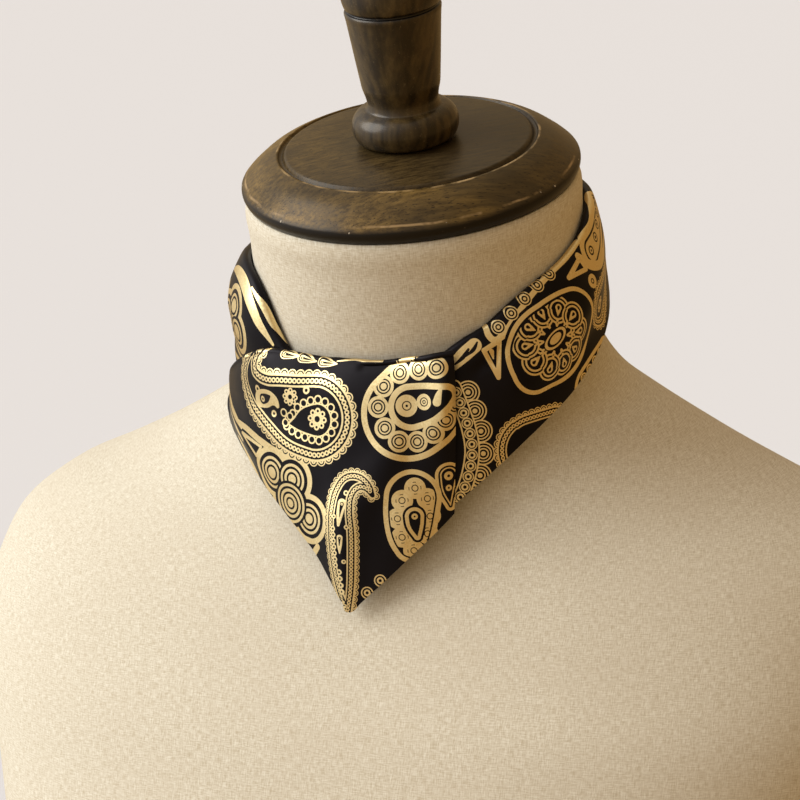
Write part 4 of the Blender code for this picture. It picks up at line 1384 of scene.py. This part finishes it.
# Where the motifs lie, in flat millimetres: across from the front, and down from the neck's top
def print_drape(page):
    # Thick lobes and strips along the left side
    lobed_cluster(page, [(-35.4, 102.2, 6.9), (-24.2, 103, 6.6), (-15.8, 117.2, 6.6), (-26, 112.8, 8.4)], 2.2)
    strips(
        page,
        [(-86, 80, 0.5), (-76, 83.6, 1.2), (-66, 86.8, 1.3), (-58, 89.4, 0.7)],
        [(-62, 88, 1), (-53, 88.6, 1.3), (-43, 91, 1.4), (-34, 93, 1.2), (-27, 93.8, 0.5)],
        [(-84, 86, 0.5), (-74, 88.6, 1.1), (-64, 91.6, 1.2), (-57, 94, 0.6)])
    wedge(page, (-57, 91), (-42, 93.4), (-45, 97.4), 1.2)
    strips(
        page,
        [(-68, 95.6, 0.6), (-60, 98.4, 1.6), (-53, 102.8, 1.9), (-48, 108.4, 1.5), (-44, 113.8, 0.8)],
        [(-90, 97.6, 0.8), (-79, 99.8, 1.7), (-68, 103, 1.9), (-58, 107.4, 1.8), (-50, 112.6, 1.3),
         (-43, 118.4, 0.6)],
        [(-80, 104.6, 0.5), (-70, 107.4, 1.5), (-61, 112.2, 1.6), (-53, 117.6, 1.1)],
        [(-47, 119.6, 1.2), (-38, 121, 1.5), (-29, 125.6, 1.6), (-21, 129.8, 1.3), (-15.6, 134.6, 0.9)],
        [(-34, 117.4, 0.4), (-27, 121, 0.9), (-20, 125, 1), (-13.4, 125.4, 0.4)],
        [(-11.4, 127.4, 1.3), (-14.4, 130.6, 1.3), (-18.6, 132.6, 0.6)])

    # The large beaded paisley, its tail hooking over the top fold
    beaded_paisley(page, [(-14.9, 78.2, 16.1), (-23, 77.9, 14.8), (-31, 76.2, 12.5), (-38.4, 74.7, 10.3),
                          (-45, 72.4, 8.8), (-49.6, 68.2, 7), (-50.6, 62.4, 5.2), (-47.6, 57.4, 3.5),
                          (-43.2, 54.8, 2)], 3.5)
    ring_loop(page, [(-13.9, 78.8, 6.3), (-18.2, 79.4, 5.1), (-22.8, 81, 2.6), (-26.4, 81.8, 0.7)],
              1.72, 1.12, 3.3)
    for x, y in ((-26.8, 79), (-30, 78), (-29, 81.8)):
        page.target(x, y, 1.7, 1.1)
    page.rosette(-13.9, 78.4, 3.1, 1.2, 0.52, 2.2, 1.2)
    page.rosette(-26.9, 71.5)
    page.target(-19.9, 68.2, 1.45, 0.66)
    page.target(-45, 71.2, 1.6, 0.7)
    page.target(-35.4, 79.3, 1.45, 0.6)
    solid_paisley(page, [(-43.6, 74.8, 3.5), (-40.6, 74.2, 3.7), (-36.8, 73.5, 2.7), (-34.2, 74.4, 1.7),
                         (-33.2, 75.8, 1)],
                  [(-42, 74.6, 2.1), (-39.8, 73.9, 1.8), (-37.2, 72.7, 0.4)], 1.2, 0.45)

    # Small eyes under the top fold, seen from the side
    for x, y, turn in ((-30, 56.1, 0), (-22, 56.5, 0.2), (-13, 57, 0)):
        for shrink in (0, 0.95):
            eye = page.shape([(x - 2.2, y, 1.7 - shrink), (x + 1.3, y + turn, 1.1 - shrink * 0.7),
                              (x + 4.2, y + turn * 2, 0.12)], 1, 5)
            eye.line(0, 0.21)
        page.discs([(x - 2, y)], 0.34)
    strips(page, [(-9, 56, 0.15), (-3, 54.9, 0.4), (4, 54.2, 0.45), (10, 53.6, 0.3)])

    # The medallion paisley at the right
    rows = [(22.3, 72.3, 16.9), (24.5, 70, 17.1), (27, 67.4, 17.2), (31, 64, 16.2), (36, 59, 13.6)]
    within = [(23.4, 69.7, 7.7), (29, 67.9, 6.8), (33.6, 65.6, 4.8), (36.6, 63.8, 3.2)]
    discs = ((10.8, 71), (12, 63.2), (17.7, 57.6), (25.2, 55.4), (32.2, 54.2), (14.2, 78.6), (20, 83),
             (27, 82.4), (32.8, 78.4), (37, 73), (40.4, 67.4))
    medallion_paisley(page, rows, 2.3, 4.05, 7.45, within=within, discs=discs)
    page.target(21.6, 69.4, 4.2, 1.85, 1.45, 0.5)
    page.target(28.4, 67.2, 3.1, 1.75, 1.35, 0.75, 0.4)
    strips(page, [(33.7, 66.6, 1.5), (34.2, 63.6, 1), (35, 61, 0.2)], steps=5)

    # The slender paisley that rises from the point and hooks over
    beaded_paisley(page, [(4.2, 150, 1.6), (2.9, 141, 3.8), (1.4, 130, 5.2), (0.4, 120, 5.6),
                          (-0.4, 111, 5.2), (0.2, 105.2, 4.8), (2.6, 101, 4.4), (6.4, 99.8, 3.2),
                          (9.8, 101.2, 2.1), (11.8, 104, 1.2)], 2.5)
    page.target(1.4, 104.6, 1.05, 0.45)
    solid_paisley(page, [(0.2, 108.6, 1.7), (-0.2, 112, 1.4), (-0.4, 117, 0.5)],
                  [(0.2, 109, 0.85), (-0.1, 111.8, 0.4), (-0.2, 114, 0.1)], 0.5, 0.2)
    solid_paisley(page, [(0.4, 121.6, 1.1), (0.5, 124.4, 0.9), (0.8, 127.6, 0.2)],
                  [(0.4, 121.8, 0.5), (0.5, 124.6, 0.15)], 0.2, 0.05)
    page.target(-2.6, 114, 0.9, 0.36)
    page.target(2.6, 117.4, 0.9, 0.36)
    page.target(2.4, 130.6, 0.85, 0.32)
    for step in range(7):
        page.target(-2.6 + 0.3 * step, 118.6 + 2.3 * step, 1, 0.42)
    for step in range(4):
        page.target(0.8 + 0.4 * step, 134.8 + 2.5 * step, 1.1, 0.45)

    # The disc cluster in its oval band
    oval_rows = [(26.8, 103.7, 9.8), (26.6, 108, 9.6), (26.6, 113, 9), (26.9, 118.5, 7.6), (27.2, 122, 5.8)]
    band = page.shape(oval_rows, 2)
    discs = ((27.4, 100), (23, 105), (21.8, 112), (23.8, 119), (32.2, 103.6), (33.6, 110.2), (33, 117),
             (28.4, 123.8))
    page.discs(discs, 4)
    for x, y in discs:
        spot = page.spot(x, y, 3.5)
        turn = np.arctan2(spot.y - y, spot.x - x)
        spot.gap(1.15, 0.17)
        spot.bare(np.minimum(0.13 - np.abs(spot.d - 2.25), 1.2 * (np.cos(4 * turn + 0.7) - 0.35)))
    drop_rows = [(27.9, 110.6, 2.8), (28.2, 113.4, 2.5), (29.4, 118.4, 0.6)]
    drop = page.shape(drop_rows, 2.4, 5)
    drop.clear(1.5)
    drop.line(0, 0.66)
    page.target(27.9, 110.6, 1.15, 0.35)
    band.gap(-1.2, 0.35)
    band.line(0, 0.95)

    # The small paisley beside it, cut by the drape's side
    eye = page.shape([(39.4, 94.4, 4.4), (39.6, 99.4, 3.6), (41, 106, 1.4)], 1.4)
    eye.line(0, 0.6)
    eye.line(-1.5, 0.26)
    page.target(39.4, 94.6, 1.7, 0.55)
    page.target(39.8, 99.2, 1.2, 0.4)
    for x, y in ((11.6, 141.8), (16.4, 136.6)):
        page.target(x, y, 2.4, 1.9, 1.3, 0.6)


def generic_run(page, x_first, x_last, y_top, y_low):
    """The same kinds of motif on cloth that the view from the front doesn't show."""
    middle = (y_top + y_low) / 2
    x = x_first
    step = 1 if x_last > x_first else -1
    kind = 0
    while (x_last - x) * step > 8:
        tilt = 3 if kind % 2 else -3
        if kind % 3 == 0:
            rows = [(x + 11 * step, middle + tilt * 0.4, 9.6), (x + 17 * step, middle - tilt * 0.6, 8),
                    (x + 23 * step, middle - tilt * 1.6, 5.2), (x + 27 * step, middle - tilt * 3, 2.4)]
            beaded_paisley(page, rows, 2.9)
            page.rosette(x + 11 * step, middle + tilt * 0.4)
            page.target(x + 18 * step, middle - tilt * 0.8, 1.3, 0.5)
            x += 33 * step
        elif kind % 3 == 1:
            rows = [(x + 12 * step, middle, 11.5), (x + 16 * step, middle - tilt * 0.5, 10.2)]
            band = page.shape(rows, 2)
            band.line(0, 0.85)
            petal_flower(page, x + 14 * step, middle - tilt * 0.2, (9.4, 7.6), 8, 0.3, (3, 2.2, 0.2), 2.7)
            x += 31 * step
        else:
            rows = [(x + 10 * step, middle - tilt * 0.5, 9.4), (x + 16 * step, middle, 8.4),
                    (x + 22 * step, middle + tilt, 5.6), (x + 27 * step, middle + tilt * 2.2, 2.6)]
            medallion_paisley(page, rows, 1.6, 2.5, 5.1)
            page.target(x + 11 * step, middle - tilt * 0.3, 2.6, 0.9, 0.5)
            x += 34 * step
        kind += 1


def print_left(page):
    # A broad strip beside the neck, over nested lobes
    lobed_cluster(page, [(-71.6, 46.6, 5.3), (-66.8, 55.4, 5.6), (-78.6, 53, 6.2)], 2.1)
    strips(
        page,
        [(-90, 39.4, 0.6), (-82, 36, 1.6), (-74, 35, 2.2), (-66, 36.4, 2.4), (-59, 40.8, 2),
         (-52, 46.8, 1.4), (-45, 52.4, 0.5)],
        [(-62, 35.2, 0.4), (-55, 38.8, 0.9), (-48, 45, 0.7), (-42, 50, 0.3)],
        [(-88, 43.6, 0.6), (-84, 48.6, 1.4), (-83.6, 55.4, 1.6), (-80, 62.4, 1.5), (-72, 66.4, 1.2),
         (-63, 66, 0.5)],
        [(-86, 73.4, 0.6), (-76, 71.2, 1.2), (-66, 70.4, 0.6)])
    generic_run(page, -89, -243, 33, 74)


def print_right(page):
    # The flower in its frame
    frame_rows = [(68, 65.6, 9.4), (73, 60.4, 14.4), (80, 58.9, 15.6), (86.3, 56.4, 14), (89.8, 54, 11.4)]
    frame_band = page.shape(frame_rows, 3)
    petal_flower(page, 78.4, 57.6, (17.2, 15.4), 10, 0.12, (5, 2.4, -0.42), 5)
    frame_band.gap(-1.2, 0.5)
    frame_band.line(0, 0.85)

    # Strips, a wedge and ring discs between it and the top fold
    strips(
        page,
        [(57.4, 50.4, 0.9), (60, 49.4, 1.1), (64.2, 46.2, 1), (69.6, 42.6, 1), (78.6, 37.9, 1),
         (89, 34.2, 1), (97, 32.4, 1), (109, 29.4, 0.8)],
        [(54.6, 44.6, 0.9), (54.2, 48, 1.2), (55.6, 50.6, 1.2), (59, 50.4, 0.9)])
    wedge(page, (50.8, 53.2), (57.4, 51.2), (53, 64.6), 1.7)
    frame_band.gap(1.4, 0.55)
    strips(page, [(53.4, 54.2, 0.9), (53.4, 57.4, 0.25)], steps=3)
    for x, y in ((58.8, 46.6), (65.2, 43.2), (72.2, 39.8), (79.4, 36.8), (86.6, 34.6)):
        page.target(x, y, 2.7, 2.3, 1.75, 1.15, 0.6)
    strips(page, [(38.6, 55.6, 2), (43.2, 53, 2.6), (48.2, 50.6, 2.6)])
    for rows in ([(39.4, 55.4, 0.35), (43, 53.6, 0.75), (45.6, 51.4, 0.45)],
                 [(44, 53.6, 0.3), (47.8, 51.6, 0.7), (49.4, 49.8, 0.35)]):
        page.shape(rows, 1, 5).clear()
    loop = page.shape([(114, 35.4, 5.6), (122, 33, 4.8), (131, 29, 3.6), (142, 25, 2.6)], 3.6)
    loop.line(0.4, 1.5)
    loop.fill(-1.3)
    loop.gap(-1.1, 0.45)
    page.target(113.6, 35.2, 2.6, 1.9, 1.2, 0.5)
    for x, y in ((121, 32.6), (127.6, 29.8), (134, 27.4), (140.4, 25.4)):
        page.target(x, y, 2.4, 2, 1.4, 0.7)
    wedge(page, (94, 39), (104, 34.8), (105.2, 39.6), 1.9)
    strips(page, [(104, 34, 1.6), (108, 38.6, 2), (114, 41.6, 1.9), (124, 41, 1.8), (134, 38, 1.4),
                  (144, 35.6, 0.8)])
    page.target(106.3, 45, 2.8, 1.1, 0.6)

    # The bead column with its half rings, against the drape's side
    bead_column(page, [(36.4, 63.5), (37, 72), (37.4, 80), (36.6, 88), (33.4, 96), (28.8, 103),
                       (24, 108)], 2.15, 4.4)

    # Scalloped borders coming up from the hem
    beaded_paisley(page, [(58, 94.6, 12.8), (64, 92.4, 10.2), (71, 89.6, 6.6)], 2.7)
    beaded_paisley(page, [(112, 56.6, 8.6), (121, 53, 7), (130, 49, 4.2)], 2.7)
    page.rosette(112, 56.6)
    medallion_paisley(page, [(93, 84, 9), (101, 79.6, 7.6), (109, 74.6, 4.6)], 1.5, 2.2, 4.7)
    generic_run(page, 138, 290, 30, 70)


# Everything put together
satin = satin_look()
foil = foil_look()
linen = linen_look()
cap_wood = cap_look()
finial_wood = finial_look()

form = ring_mesh("form_linen", form_grid(), linen)
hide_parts("form_body")
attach(form, "root")

for piece_name, node, profile, look in (("cap_wood", "neck_cap", CAP_PROFILE, cap_wood),
                                        ("finial_wood", "finial", FINIAL_PROFILE, finial_wood)):
    piece = ring_mesh(piece_name, lathe_grid(profile), look)
    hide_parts(node)
    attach(piece, "root")

prints = {"left_wrap": print_left, "right_wrap": print_right, "front_drape": print_drape}
for node, surface in surfaces.items():
    ink = Print(surface.flat)
    prints[node](ink)
    piece = sheet_piece(node + "_satin", surface, ink, satin, foil)
    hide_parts(node)
    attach(piece, "root")

add_floor()
add_world()
add_sun("key", LIGHT_FROM, KEY_STRENGTH, KEY_ANGLE, KEY_COLOUR)
add_camera()
bpy.context.scene.view_settings.view_transform = "Standard"
